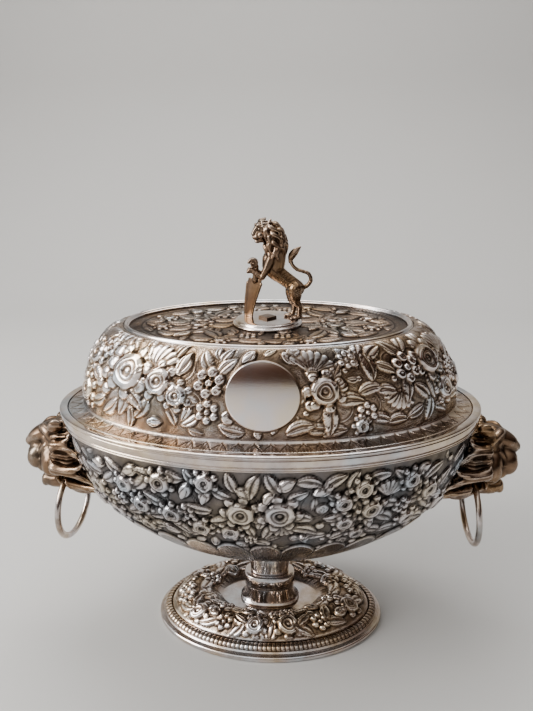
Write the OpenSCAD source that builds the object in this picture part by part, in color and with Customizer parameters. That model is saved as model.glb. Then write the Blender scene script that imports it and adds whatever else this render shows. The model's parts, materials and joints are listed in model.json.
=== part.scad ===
// Oval footed soup tureen with a lift-off domed lid, a lion finial
// and two lion-mask handles with drop rings.
// Origin: centre of the foot's resting face. +X along the oval, +Z up, front at -Y.

/* [Bowl] */
// Half length of the bowl rim
rim_a = 155; // [150:1:160]
// Half width of the bowl rim
rim_b = 94.4; // [92:0.2:97]
// Height of the top of the rim
rim_z = 165.2; // [163:0.2:168]
// Height of the rim moulding
rim_h = 12.2; // [11.5:0.1:13]
// Height of the flat seat under the bowl
bowl_seat_z = 54.4; // [54:0.1:55]
// Thickness of the bowl wall
bowl_wall = 1.6; // [1.4:0.1:2.2]

/* [Foot and stem] */
// Half length of the foot
foot_a = 84; // [82:0.5:88]
// Half width of the foot
foot_b = 53.5; // [52:0.5:56]
// Thickness of the foot's base ring
foot_rim_h = 3.5; // [3:0.1:4]
// Rise of the foot's ring of relief
foot_bulge = 8.3; // [6:0.1:9]
// Height of the seat of the stem
stem_seat_z = 10.5; // [10:0.1:10.8]

/* [Lid] */
// Gap between the lid's flange and the rim
lid_gap = 0.6; // [0.5:0.05:0.8]
// Half length of the dome where it leaves the flange
dome_a = 138; // [137:0.2:139]
// Half width of the dome where it leaves the flange
dome_b = 77.8; // [77:0.2:78.4]
// Half length of the top of the dome
dome_top_a = 107.2; // [107:0.1:108]
// Half width of the top of the dome
dome_top_b = 68; // [67.6:0.1:68.6]
// Thickness of the dome
dome_wall = 1.4; // [1.3:0.1:2]
// Height of the sunk top panel's upper face
panel_z = 222; // [221.6:0.1:222.4]

/* [Finial] */
// Radius of the finial's round plate
plate_r = 25.7; // [24:0.1:27]
// Height of the finial's round plate
plate_h = 4; // [3.6:0.1:4.2]
// Radius of the bolt that holds the finial
bolt_r = 2.45; // [2:0.05:2.5]
// Side of the bolt's square head
bolt_head = 9.4; // [8:0.1:10]

/* [Handles] */
// Distance of the mouth hole from the centre
mouth_x = 150; // [149:0.5:151]
// Height of the mouth hole
mouth_z = 108.1; // [107:0.1:109]
// Radius of the mouth hole
mouth_r = 3.6; // [3.5:0.05:4]
// Radius of the ring's centre line
ring_r = 24.75; // [24:0.25:25]
// Radius of the ring's wire
ring_wire = 2.25; // [2:0.05:2.3]
// Turn of the left ring about the vertical
ring_turn_left = 8; // [0:1:10]

/* [Hidden] */
$fn = 64;
seg = 64;                 // straight sides round an oval
stem_seg = 40;            // straight sides round the stem
silver = [0.62, 0.58, 0.54];
dark_silver = [0.42, 0.37, 0.33];
bright_silver = [0.74, 0.71, 0.68];

bowl_a = 148.35;          // half length of the bowl at the rim
bowl_b = 86.2;            // half width of the bowl at the rim
bowl_top_z = rim_z - 5.2; // the bowl's edge, hidden in the moulding
bowl_side_z = 152;        // end of the curved side
bowl_seat_a = 16.8;
bowl_seat_b = 9.8;
rim_low_z = rim_z - rim_h;
ledge_a = 143;            // inner edge of the ledge that carries the lid
ledge_b = ledge_a - bowl_a + bowl_b;
ledge_z = rim_z - 2.7;
flange_a = rim_a - 6.4;
flange_b = rim_b - 6.4;
flange_z = ledge_z + 0.3; // underside of the lid's flange
land_z = panel_z - 1.5;   // flat land that carries the top panel
plate_z = panel_z;
dome_top_z = panel_z + 1.4;

// ---- shapes shared by the oval pieces ----

// One oval ring of points; power 2 is an ellipse, more is squarer.
function oval(a, b, z, n = seg, power = 2) = [for (i = [0:n - 1])
    let (c = cos(i * 360 / n), s = sin(i * 360 / n))
    [a * sign(c) * pow(abs(c), 2 / power), b * sign(s) * pow(abs(s), 2 / power), z]];

// Flat outline of an oval.
function outline(a, b) = [for (p = oval(a, b, 0, seg)) [p[0], p[1]]];

// Triangles between oval ring i and ring j.
function band_faces(i, j, n) = [for (k = [0:n - 1]) let (m = (k + 1) % n)
    each [[i * n + k, j * n + k, j * n + m], [i * n + k, j * n + m, i * n + m]]];

// Closed ring of metal: rows are [half length, half width, height], once round its section,
// up the outside first.
module oval_ring(rows, n = seg) {
    count = len(rows);
    polyhedron(points = [for (r = rows) each oval(r[0], r[1], r[2], n)],
        faces = [for (i = [0:count - 1]) each band_faces(i, (i + 1) % count, n)]);
}

// Solid or cup: the first and last rows are closed by flat oval faces.
module oval_body(rows, n = seg, power = 2) {
    count = len(rows);
    polyhedron(points = [for (r = rows) each oval(r[0], r[1], r[2], n, power)],
        faces = concat([for (i = [0:count - 2]) each band_faces(i, i + 1, n)],
            [[for (k = [0:n - 1]) k]],
            [[for (k = [n - 1:-1:0]) (count - 1) * n + k]]));
}

// Rows moved inwards by t along the section's normal.
function inset_rows(rows, t) = [for (i = [0:len(rows) - 1])
    let (p = rows[max(i - 1, 0)], q = rows[min(i + 1, len(rows) - 1)],
        da = q[0] - p[0], dz = q[2] - p[2], d = norm([da, dz]))
    [rows[i][0] - t * dz / d, rows[i][1] - t * dz / d, rows[i][2] + t * da / d]];

function reversed(rows) = [for (i = [len(rows) - 1:-1:0]) rows[i]];

function between(p, q, t) = p + (q - p) * t;

// ---- foot ----

module foot_rim() {
    // Flat oval ring that the tureen stands on
    color(bright_silver) linear_extrude(foot_rim_h) difference() {
        polygon(outline(foot_a, foot_b));
        polygon(outline(foot_a - 8, foot_b - 8));
    }
}

band_a = foot_a - 4;      // outer edge of the beaded band
band_b = foot_b - 4;
band_w = 4.8;
band_z = foot_rim_h + 1.5;
band_h = 2.8;

module foot_bead_band() {
    // Wire of small beads laid round the foot, as one band
    color(bright_silver) oval_ring([
        [band_a, band_b, band_z], [band_a - 0.3, band_b - 0.3, band_z + band_h * 0.6],
        [band_a - 1.4, band_b - 1.4, band_z + band_h], [band_a - 3.4, band_b - 3.4, band_z + band_h],
        [band_a - band_w, band_b - band_w, band_z + band_h * 0.7],
        [band_a - band_w, band_b - band_w, band_z]]);
}

bulge_a = 72;             // outer edge of the foot's ring of relief
bulge_b = 43.6;
valley_a = 36;            // dished floor round the stem
valley_b = 19.5;
valley_z = stem_seat_z + 0.7;
bulge_steps = 9;
bulge_rows = [for (i = [0:bulge_steps]) let (t = i / bulge_steps)
    [between(bulge_a, valley_a, t), between(bulge_b, valley_b, t),
        between(band_z + 4.4, valley_z, t) + foot_bulge * sin(180 * pow(t, 0.85))]];
foot_outside = concat([
    [foot_a - 1.6, foot_b - 1.6, foot_rim_h], [band_a + 0.3, band_b + 0.3, band_z],
    [band_a - band_w - 0.1, band_b - band_w - 0.1, band_z],
    [band_a - band_w - 0.2, band_b - band_w - 0.2, band_z + 2.6]],
    bulge_rows, [[26, 16.5, stem_seat_z]]);
foot_inside = concat([
    [foot_a - 6, foot_b - 6, foot_rim_h],
    [band_a - band_w - 2, band_b - band_w - 2, band_z + 1.2]],
    [for (r = bulge_rows) [r[0] - 1, r[1] - 1, r[2] - 1.8]],
    [[24, 15, stem_seat_z - 1.8]]);

module foot_dome() {
    // Raised shell of the foot, hollow underneath
    color(silver) oval_body(concat(reversed(foot_inside), foot_outside));
}

// ---- stem, three cast collars stacked under the bowl ----

stem_power = 2.5;
lower_top_z = 21;
band_top_z = 31;

module stem_lower() {
    // Flared collar that spreads onto the foot
    steps = 6;
    rows = [for (i = [0:steps]) let (t = i / steps)
        [between(18.1, 22, pow(1 - t, 2.2)), between(10.9, 13.8, pow(1 - t, 2.2)),
            between(stem_seat_z + 1.4, lower_top_z, t)]];
    color(bright_silver)
        oval_body(concat([[22, 13.8, stem_seat_z]], rows), stem_seg, stem_power);
}

module stem_band() {
    // Plain upright band
    color(silver) oval_body([[17.6, 10.4, lower_top_z], [18.6, 11.4, lower_top_z + 0.8],
        [18.8, 11.6, lower_top_z + 5], [18.6, 11.4, band_top_z - 0.8],
        [17.8, 10.6, band_top_z]], stem_seg, stem_power);
}

module stem_upper() {
    // Waisted collar that widens up to the bowl
    steps = 7;
    rows = [for (i = [0:steps]) let (t = i / steps)
        [between(14.4, bowl_seat_a, pow(t, 1.6)), between(8.4, bowl_seat_b, pow(t, 1.6)),
            between(band_top_z, bowl_seat_z, t)]];
    color(bright_silver) oval_body(rows, stem_seg, stem_power);
}

// ---- bowl ----

bowl_steps = 12;
bowl_seat_u = bowl_seat_a / bowl_a;
// The side rises as a soft superellipse from the seat to the rim.
bowl_outside = concat([for (i = [0:bowl_steps])
    let (u = pow(i / bowl_steps, 0.8), r = between(bowl_seat_u, 1, u))
    [bowl_a * r, between(bowl_seat_b, bowl_b, u),
        between(bowl_seat_z, bowl_side_z, 1 - pow(1 - pow(u, 1.957), 1 / 1.775))]],
    [[bowl_a, bowl_b, bowl_top_z]]);
bowl_inside = concat([[bowl_seat_a, bowl_seat_b, bowl_seat_z + bowl_wall]],
    [for (i = [2:bowl_steps]) inset_rows(bowl_outside, bowl_wall)[i]],
    [[bowl_a - bowl_wall, bowl_b - bowl_wall, bowl_top_z]]);

module bowl_shell() {
    // Raised bowl, closed and flat where the stem joins it
    color(silver) oval_body(concat(bowl_outside, reversed(bowl_inside)));
}

rim_outside = [
    [bowl_a + 2.4, bowl_b + 2.4, rim_low_z], [rim_a - 2.6, rim_b - 2.6, rim_low_z + 1],
    [rim_a - 2.2, rim_b - 2.2, rim_low_z + 3.6], [rim_a - 0.9, rim_b - 0.9, rim_low_z + 4.8],
    [rim_a - 0.7, rim_b - 0.7, rim_z - 3.2], [rim_a, rim_b, rim_z - 1.6],
    [rim_a - 0.4, rim_b - 0.4, rim_z - 0.4]];

module bowl_rim() {
    // Reeded border round the mouth, with the ledge that carries the lid
    color(bright_silver) oval_ring(concat([[bowl_a, bowl_b, rim_low_z]], rim_outside, [
        [rim_a - 1.4, rim_b - 1.4, rim_z],
        [flange_a + lid_gap + 0.6, flange_b + lid_gap + 0.6, rim_z],
        [flange_a + lid_gap, flange_b + lid_gap, rim_z - 0.6],
        [flange_a + lid_gap, flange_b + lid_gap, ledge_z], [ledge_a, ledge_b, ledge_z],
        [ledge_a, ledge_b, bowl_top_z], [bowl_a, bowl_b, bowl_top_z]]));
}

// ---- handles ----

// Space taken by the bowl and its rim, which the masks are fitted against
module bowl_and_rim_body() {
    oval_body([for (i = [5:bowl_steps]) bowl_outside[i]]);
    oval_body(concat([[bowl_a, bowl_b, bowl_side_z - 0.01], [bowl_a, bowl_b, rim_low_z]],
        rim_outside));
}

// Round-ended bar from one point to another in the X-Z plane
module bar(x0, z0, x1, z1, r) {
    length = norm([x1 - x0, z1 - z0]);
    translate([x0, 0, z0]) rotate([0, atan2(x1 - x0, z1 - z0), 0]) rotate_extrude() {
        intersection() {
            union() {
                circle(r);
                translate([0, length]) circle(r);
                translate([-r, 0]) square([2 * r, length]);
            }
            translate([0, -r]) square([r, length + 2 * r]);
        }
    }
}

// Lion's head looking out along +X, biting on a pierced bar that holds the ring
module lion_mask(turn) {
    chin_w = 16;
    difference() {
        union() {
            // mane
            translate([124, 0, 127]) sphere(31);
            // brow and muzzle
            translate([154, 0, 138.5]) sphere(15);
            bar(156, 134, 175, 131.5, 11);
            // upper lip, mouth bar and chin
            bar(151, 120, 167.5, 118.5, 9.8);
            translate([mouth_x, chin_w / 2, mouth_z]) rotate([90, 0, 0]) cylinder(r = 8, h = chin_w);
            bar(154, 104.2, 167.5, 103.3, 7.7);
            bar(136, 112, 144, 109, 7.9);
        }
        bowl_and_rim_body();
        translate([mouth_x, 0, mouth_z]) rotate([90, 0, turn])
            cylinder(r = mouth_r, h = 4 * chin_w, center = true);
    }
}

module lion_mask_right() color(dark_silver) lion_mask(0);

module lion_mask_left() color(dark_silver) mirror([1, 0, 0]) lion_mask(ring_turn_left);

// Drop ring hanging through the mouth hole
module drop_ring(turn) {
    top = mouth_z + 0.68;
    translate([mouth_x, 0, top - ring_r]) rotate([0, 0, turn]) rotate([0, 90, 0])
        rotate_extrude() translate([ring_r, 0]) circle(ring_wire);
}

module ring_right() color(bright_silver) drop_ring(0);

module ring_left() color(bright_silver) mirror([1, 0, 0]) drop_ring(ring_turn_left);

// ---- lid ----

dome_low_z = flange_z + 4.6;
dome_steps = 10;
// The side goes up nearly plumb, then turns over on a quarter oval.
dome_outside = [for (i = [0:dome_steps]) let (u = sin(90 * i / dome_steps), k = pow(1 - u * u, 0.53))
    [between(dome_top_a, dome_a, k), between(dome_top_b, dome_b, k),
        between(dome_low_z, dome_top_z, u)]];
dome_inside = inset_rows(dome_outside, dome_wall);
land_a = 106.8;
land_b = 67.5;
land_w = 9;

module lid_dome() {
    // Raised lid with its flat flange, and an oval opening that the top panel closes
    color(silver) oval_ring(concat([
        [flange_a, flange_b, flange_z], [flange_a, flange_b, flange_z + 1.4],
        [flange_a - 0.5, flange_b - 0.5, flange_z + 1.9]], dome_outside, [
        [land_a, land_b, dome_top_z - 0.4], [land_a, land_b, land_z],
        [land_a - land_w, land_b - land_w, land_z],
        [land_a - land_w, land_b - land_w, land_z - 1.5]],
        [for (i = [dome_steps - 2:-1:0]) dome_inside[i]],
        [[dome_a - dome_wall, dome_b - dome_wall, flange_z]]));
}

bezel_a = ledge_a - lid_gap;
bezel_b = ledge_b - lid_gap;

module lid_bezel() {
    // Upright collar under the flange that keeps the lid in the mouth
    color(silver) oval_ring([
        [bezel_a - 0.5, bezel_b - 0.5, flange_z - 7], [bezel_a, bezel_b, flange_z - 6.2],
        [bezel_a, bezel_b, flange_z], [bezel_a - 1.8, bezel_b - 1.8, flange_z],
        [bezel_a - 1.8, bezel_b - 1.8, flange_z - 7]]);
}

moulding_w = 4.4;

module lid_panel() {
    // Flat chased panel sunk in the top of the lid, bored for the finial's bolt
    color(dark_silver) translate([0, 0, land_z]) linear_extrude(panel_z - land_z) difference() {
        polygon(outline(land_a - moulding_w - 0.3, land_b - moulding_w - 0.3));
        circle(bolt_r + 0.05);
    }
}

module lid_moulding() {
    // Raised oval border round the panel
    w = moulding_w;
    color(bright_silver) oval_ring([
        [land_a - 0.1, land_b - 0.1, land_z], [land_a - 0.1, land_b - 0.1, dome_top_z + 0.2],
        [land_a - 1, land_b - 1, dome_top_z + 1.2], [land_a - 2, land_b - 2, dome_top_z + 1.6],
        [land_a - 3.2, land_b - 3.2, dome_top_z + 1.2], [land_a - w, land_b - w, dome_top_z],
        [land_a - w, land_b - w, land_z]]);
}

// ---- finial ----

module finial_plate() {
    // Round two-step plate that the lion stands on
    color(bright_silver) translate([0, 0, plate_z]) rotate_extrude() {
        difference() {
            union() {
                square([plate_r - 1.2, 2.4]);
                translate([plate_r - 1.2, 1.2]) circle(1.2);
                square([plate_r - 2.2, plate_h]);
            }
            translate([-plate_r, -plate_h]) square([plate_r + bolt_r + 0.05, 3 * plate_h]);
        }
    }
}

plate_top = plate_z + plate_h;

// Smooth limb between two round ends, given as [x, y, z, radius]
module limb(p, q) {
    hull() {
        translate([p[0], p[1], p[2]]) sphere(p[3], $fn = 20);
        translate([q[0], q[1], q[2]]) sphere(q[3], $fn = 20);
    }
}

module finial_lion() {
    // Lion rearing to the left with its forepaws on the shield
    hip_y = 4.2;
    color(dark_silver) intersection() {
        union() {
            // chest and back, and the mane down the neck
            limb([4, 0, 267, 9], [20, 0, 249, 6.6]);
            limb([3, 0, 290.5, 9], [7, 0, 272, 9.5]);
            // head and muzzle
            translate([-1.5, 0, 293.4]) sphere(7.6);
            translate([-7.5, 0, 287.5]) sphere(4.2);
            // hind legs and feet
            for (side = [-1, 1]) {
                limb([18.5, side * hip_y, 246, 5.6], [20.5, side * hip_y, 230, 2.6]);
                translate([17.5, side * hip_y, plate_top + 1.6]) sphere(3.4);
            }
            // forelegs reaching for the shield
            for (side = [-1, 1]) limb([0, side * 4, 261, 3], [-8.8, side * 3.6, 264.2, 2.4]);
            // tail and its tuft
            translate([25.5, 0, 256]) rotate([90, 0, 0]) rotate_extrude()
                translate([6.6, 0]) circle(1.2);
            bar(17, 263.5, 23, 276, 2.2);
        }
        // flat under the feet
        translate([-40, -20, plate_top]) cube([80, 40, 90]);
    }
}

module finial_shield() {
    // Tapered shield leaning towards the lion, with a rolled top under the paws
    thick = 3.4;
    lean = 13;
    turn = -35;
    shield_h = 30;
    foot_x = -14;
    color(dark_silver) intersection() {
        translate([foot_x, 0, plate_top - 1.2]) rotate([0, lean, 0]) rotate([0, 0, turn])
            translate([-thick / 2, 0, 0]) {
                rotate([90, 0, 90]) linear_extrude(thick)
                    polygon([[-2.6, 0], [2.6, 0], [8.6, shield_h - 6], [7.4, shield_h + 3],
                        [3.4, shield_h + 5.4], [-3.4, shield_h + 5.4], [-7.4, shield_h + 3],
                        [-8.6, shield_h - 6]]);
                translate([0, 3.4, shield_h + 6.2]) rotate([90, 0, 0]) cylinder(r = 3, h = 6.8);
                translate([thick / 2, 0, 0]) cylinder(r = 4.4, h = 3.4);
            }
        // flat under the foot, and clear of the forelegs
        translate([-40, -20, plate_top]) cube([80, 40, 90]);
        difference() {
            translate([-40, -20, plate_top]) cube([80, 40, 90]);
            for (side = [-1, 1])
                translate([-8.8, side * 3.6, 264.2]) sphere(2.5);
            for (side = [-1, 1]) translate([-8.8, side * 3.6, 264.2])
                rotate([0, atan2(8.8, -3.2), 0]) cylinder(r = 3.1, h = 14);
        }
    }
}

washer_h = 1.2;
nut_h = 3.8;
bolt_low = land_z - washer_h - nut_h - 1.8;

module finial_bolt() {
    // Square-headed bolt through the plate and the panel
    color(bright_silver) {
        translate([0, 0, bolt_low]) cylinder(r = bolt_r, h = plate_top - bolt_low);
        translate([0, 0, plate_top + 0.9]) rotate(45)
            cube([bolt_head, bolt_head, 1.8], center = true);
    }
}

module finial_washer() {
    // Flat washer against the underside of the panel
    color(silver) translate([0, 0, land_z - washer_h]) difference() {
        cylinder(r = 8, h = washer_h);
        translate([0, 0, -1]) cylinder(r = bolt_r + 0.05, h = washer_h + 2);
    }
}

module finial_nut() {
    // Hexagon nut inside the lid
    color(silver) translate([0, 0, land_z - washer_h - nut_h]) difference() {
        cylinder(r = 5.2, h = nut_h, $fn = 6);
        translate([0, 0, -1]) cylinder(r = bolt_r + 0.05, h = nut_h + 2);
    }
}

foot_rim();
foot_bead_band();
foot_dome();
stem_lower();
stem_band();
stem_upper();
bowl_shell();
bowl_rim();
lion_mask_left();
lion_mask_right();
ring_left();
ring_right();
lid_dome();
lid_bezel();
lid_panel();
lid_moulding();
finial_plate();
finial_lion();
finial_shield();
finial_bolt();
finial_washer();
finial_nut();
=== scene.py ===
"""Oval soup tureen in embossed silver plate, built piece by piece from the foot up.

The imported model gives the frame, the bodies and the driving boxes; every new surface is a
function of two parameters worked out on a grid in millimetres and stored in metres.
"""
import json
import bmesh
import bpy
import numpy as np
from mathutils import Matrix, Vector


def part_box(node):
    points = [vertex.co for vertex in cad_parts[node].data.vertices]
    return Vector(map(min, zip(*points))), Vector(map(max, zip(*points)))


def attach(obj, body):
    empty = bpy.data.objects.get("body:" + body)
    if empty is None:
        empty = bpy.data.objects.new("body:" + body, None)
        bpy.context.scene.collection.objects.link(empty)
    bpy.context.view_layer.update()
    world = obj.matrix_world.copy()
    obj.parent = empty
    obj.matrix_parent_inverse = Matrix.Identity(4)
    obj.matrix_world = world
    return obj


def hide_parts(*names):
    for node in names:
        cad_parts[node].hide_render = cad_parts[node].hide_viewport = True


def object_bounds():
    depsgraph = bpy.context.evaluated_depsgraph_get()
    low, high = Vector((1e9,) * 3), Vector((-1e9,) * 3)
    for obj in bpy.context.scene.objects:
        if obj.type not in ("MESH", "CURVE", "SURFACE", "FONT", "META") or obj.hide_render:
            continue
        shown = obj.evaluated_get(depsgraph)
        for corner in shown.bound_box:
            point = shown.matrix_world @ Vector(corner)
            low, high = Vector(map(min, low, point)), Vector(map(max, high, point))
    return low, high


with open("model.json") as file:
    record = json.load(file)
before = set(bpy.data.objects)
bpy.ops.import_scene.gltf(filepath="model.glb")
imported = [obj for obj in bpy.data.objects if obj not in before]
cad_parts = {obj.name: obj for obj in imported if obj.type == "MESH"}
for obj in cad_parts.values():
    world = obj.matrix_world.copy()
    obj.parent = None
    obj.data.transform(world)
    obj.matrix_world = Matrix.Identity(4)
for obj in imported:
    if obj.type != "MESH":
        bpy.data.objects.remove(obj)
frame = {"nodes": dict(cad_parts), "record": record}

cad_low, cad_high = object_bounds()

# ---- Foot ring -------------------------------------------------------------------------
# The tureen stands on a flat oval ring of thick plate with a rounded, polished edge.
# It is drawn wire soldered under the foot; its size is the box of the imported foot_rim.

MM = 0.001


def size_of(node):
    """Half length, half width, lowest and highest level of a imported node, in millimetres."""
    low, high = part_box(node)
    return high.x / MM, high.y / MM, low.z / MM, high.z / MM


def blend_of(low, high, t):
    """Straight-line mix of two values."""
    return low + (high - low) * t


def smooth(t):
    """Soft step: 3t^2 - 2t^3 between 0 and 1."""
    t = np.clip(t, 0.0, 1.0)
    return t * t * (3.0 - 2.0 * t)


def node_of(tree, kind, **values):
    """One shader node with its plain socket or property values set."""
    made = tree.nodes.new(kind)
    for name, value in values.items():
        if hasattr(made, name):
            setattr(made, name, value)
        else:
            made.inputs[name.replace("_", " ")].default_value = value
    return made


def maths(tree, operation, first, second=None, clamp=False):
    """Maths node; each operand is a socket or a number."""
    made = tree.nodes.new("ShaderNodeMath")
    made.operation = operation
    made.use_clamp = clamp
    for slot, value in zip(made.inputs, (first, second)):
        if value is None:
            continue
        if isinstance(value, (int, float)):
            slot.default_value = value
        else:
            tree.links.new(value, slot)
    return made.outputs[0]


def silver(name, clouds=0.5, aged=0.2, cut=0.0, ground=0.0, polish=0.0, rough=(0.14, 0.5), grain=0.1,
           tones=((0.82, 0.81, 0.79), (0.30, 0.242, 0.188), (0.034, 0.023, 0.016))):
    """Silver plate with brown tarnish.

    tarnish = aged + clouds of noise + cut lines + matted ground - rubbed highs; it moves the colour
    along three tones and the roughness between two values. The matting and the fine
    scratches are bump in Object coordinates.
    """
    material = bpy.data.materials.new(name)
    material.use_nodes = True
    tree = material.node_tree
    shader = tree.nodes["Principled BSDF"]
    shader.inputs["Metallic"].default_value = 1.0
    place = tree.nodes.new("ShaderNodeTexCoord").outputs["Object"]

    def noise(scale, detail, roughness=0.6):
        made = node_of(tree, "ShaderNodeTexNoise", Scale=scale, Detail=detail, Roughness=roughness)
        tree.links.new(place, made.inputs["Vector"])
        return made.outputs["Fac"]

    def field(title):
        made = tree.nodes.new("ShaderNodeAttribute")
        made.attribute_name = title
        return made.outputs["Fac"]

    broad = noise(22.0, 5.0)
    patchy = noise(140.0, 4.0, 0.65)
    cloud = maths(tree, "ADD", maths(tree, "MULTIPLY", broad, 0.62), maths(tree, "MULTIPLY", patchy, 0.38))
    tarnish = maths(tree, "MULTIPLY_ADD", cloud, clouds * 2.6)
    tarnish.node.inputs[2].default_value = aged - clouds * 1.3
    if cut:
        tarnish = maths(tree, "ADD", tarnish, maths(tree, "MULTIPLY", field("cut"), cut))
    if ground:
        tarnish = maths(tree, "ADD", tarnish, maths(tree, "MULTIPLY", field("ground"), ground))
    if polish:
        tarnish = maths(tree, "SUBTRACT", tarnish, maths(tree, "MULTIPLY", field("polish"), polish))
    tarnish = maths(tree, "MAXIMUM", tarnish, 0.0, clamp=True)

    ramp = tree.nodes.new("ShaderNodeValToRGB")
    ramp.color_ramp.elements[0].color = (*tones[0], 1.0)
    ramp.color_ramp.elements[1].position = 0.95
    ramp.color_ramp.elements[1].color = (*tones[2], 1.0)
    middle = ramp.color_ramp.elements.new(0.42)
    middle.color = (*tones[1], 1.0)
    tree.links.new(tarnish, ramp.inputs["Fac"])
    stain = node_of(tree, "ShaderNodeTexNoise", Scale=34.0, Detail=3.0, Roughness=0.5)
    tree.links.new(place, stain.inputs["Vector"])
    swing = tree.nodes.new("ShaderNodeValToRGB")
    for element, at, tone in zip(swing.color_ramp.elements, (0.34, 0.64),
                                 ((0.90, 0.97, 1.06), (1.10, 0.98, 0.83))):
        element.position, element.color = at, (*tone, 1.0)
    swing.color_ramp.elements.new(0.48).color = (1.04, 0.97, 0.97, 1.0)
    tree.links.new(stain.outputs["Fac"], swing.inputs["Fac"])
    tint = tree.nodes.new("ShaderNodeMix")
    tint.data_type, tint.blend_type = "RGBA", "MULTIPLY"
    tint.inputs["Factor"].default_value = 1.0
    tree.links.new(ramp.outputs["Color"], tint.inputs[6])
    tree.links.new(swing.outputs["Color"], tint.inputs[7])
    tree.links.new(tint.outputs[2], shader.inputs["Base Color"])

    spread = node_of(tree, "ShaderNodeMapRange", To_Min=rough[0], To_Max=rough[1])
    tree.links.new(tarnish, spread.inputs["Value"])
    tree.links.new(spread.outputs["Result"], shader.inputs["Roughness"])

    height = maths(tree, "MULTIPLY", noise(900.0, 3.0), grain)
    if ground:
        pits = node_of(tree, "ShaderNodeTexVoronoi", Scale=1150.0)
        tree.links.new(place, pits.inputs["Vector"])
        matting = maths(tree, "MULTIPLY", pits.outputs["Distance"], field("ground"))
        height = maths(tree, "ADD", height, maths(tree, "MULTIPLY", matting, 0.9))
    bump = node_of(tree, "ShaderNodeBump", Strength=0.45, Distance=0.0004)
    tree.links.new(height, bump.inputs["Height"])
    tree.links.new(bump.outputs["Normal"], shader.inputs["Normal"])
    return material


def lay_mesh(name, points, faces, material, body, nodes=(),
             fields=None, normals=None, weld=False):
    """Smooth-shaded mesh of millimetre points and four-sided faces, riding on a body."""
    mesh = bpy.data.meshes.new(name)
    points = np.asarray(points, float).reshape(-1, 3)
    faces = np.asarray(faces, np.int32).reshape(-1, 4)
    mesh.vertices.add(len(points))
    mesh.vertices.foreach_set("co", (points * MM).astype(np.float32).ravel())
    mesh.loops.add(faces.size)
    mesh.loops.foreach_set("vertex_index", faces.ravel())
    mesh.polygons.add(len(faces))
    mesh.polygons.foreach_set("loop_start", np.arange(len(faces), dtype=np.int32) * 4)
    mesh.update(calc_edges=True)
    mesh.shade_smooth()
    for title, values in (fields or {}).items():
        layer = mesh.attributes.new(title, "FLOAT", "POINT")
        layer.data.foreach_set("value", np.asarray(values, np.float32).ravel())
    if normals is not None:
        mesh.normals_split_custom_set_from_vertices(np.asarray(normals).reshape(-1, 3))
    if weld:
        work = bmesh.new()
        work.from_mesh(mesh)
        bmesh.ops.remove_doubles(work, verts=work.verts, dist=1e-6)
        work.to_mesh(mesh)
        work.free()
    mesh.materials.append(material)
    piece = bpy.data.objects.new(name, mesh)
    bpy.context.scene.collection.objects.link(piece)
    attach(piece, body)
    if nodes:
        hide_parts(*nodes)
    return piece


def grid_faces(rows, columns, around=True, ring=False):
    """Four-sided faces of a grid whose columns run counter-clockwise and rows upwards outside.

    around joins the last column to the first; ring joins the last row to the first.
    """
    i, j = np.meshgrid(np.arange(rows if ring else rows - 1),
                       np.arange(columns if around else columns - 1), indexing="ij")
    up, side = (i + 1) % rows, (j + 1) % columns
    return np.stack([i * columns + j, i * columns + side, up * columns + side, up * columns + j],
                    axis=-1).reshape(-1, 4)


def oval_turn(a, b, count):
    """Angles that step evenly along an oval of half sizes a and b, from the front (-Y) on."""
    fine = np.linspace(-np.pi / 2, 1.5 * np.pi, 8001)
    step = np.hypot(a * np.sin(fine), b * np.cos(fine))
    run = np.concatenate([[0.0], np.cumsum((step[1:] + step[:-1]) / 2) * (fine[1] - fine[0])])
    return np.interp(np.arange(count) * run[-1] / count, run, fine), run[-1]


def around_oval(rows, turn, power=2.0):
    """Points of a section carried round an oval: x = a cos^(2/p), y = b sin^(2/p), z = z."""
    rows = np.asarray(rows, float)
    c, s = np.cos(turn), np.sin(turn)
    c, s = np.sign(c) * np.abs(c) ** (2 / power), np.sign(s) * np.abs(s) ** (2 / power)
    return np.stack([rows[:, :1] * c, rows[:, 1:2] * s, np.repeat(rows[:, 2:], len(turn), 1)], axis=-1)


def section(corners, round_by=0.3, steps=4):
    """Closed section whose corners (offset, level) are rounded by short curves.

    Each corner becomes a quadratic curve from round_by before it to round_by after it.
    """
    corners = np.asarray(corners, float)
    back = np.roll(corners, 1, 0) - corners
    ahead = np.roll(corners, -1, 0) - corners
    reach_back = np.minimum(round_by, 0.45 * np.linalg.norm(back, axis=1))[:, None]
    reach_on = np.minimum(round_by, 0.45 * np.linalg.norm(ahead, axis=1))[:, None]
    start = corners + back / np.linalg.norm(back, axis=1)[:, None] * reach_back
    end = corners + ahead / np.linalg.norm(ahead, axis=1)[:, None] * reach_on
    t = np.linspace(0, 1, steps)[None, :, None]
    curve = (1 - t) ** 2 * start[:, None] + 2 * t * (1 - t) * corners[:, None] + t * t * end[:, None]
    return curve.reshape(-1, 2)


def oval_moulding(name, a, b, corners, material, body, nodes=(),
                  round_by=0.3, columns=360):
    """Solid ring of a rounded section round an oval; offsets in the section go outwards."""
    path = section(corners, round_by)
    rows = np.column_stack([a + path[:, 0], b + path[:, 0], path[:, 1]])
    turn, _ = oval_turn(a, b, columns)
    return lay_mesh(name, around_oval(rows, turn), grid_faces(len(rows), columns, ring=True),
                    material, body, nodes)


polished = silver("polished_silver", clouds=0.30, aged=0.16, rough=(0.09, 0.34), grain=0.05)
foot_a, foot_b, _, foot_top = size_of("foot_rim")
oval_moulding("foot_ring", foot_a, foot_b,
              [(-8.0, 0.0), (-0.5, 0.0), (0.0, 1.0), (-0.1, 2.6), (-1.2, foot_top), (-8.0, foot_top)],
              polished, "base", ["foot_rim"], round_by=0.9)

# ---- Foot ------------------------------------------------------------------------------
# The foot is one raised sheet: a cove over the ring, a flat for the bead wire, a swelling
# ring of embossed roses and leaves, and a plain dished floor round the stem.


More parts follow.
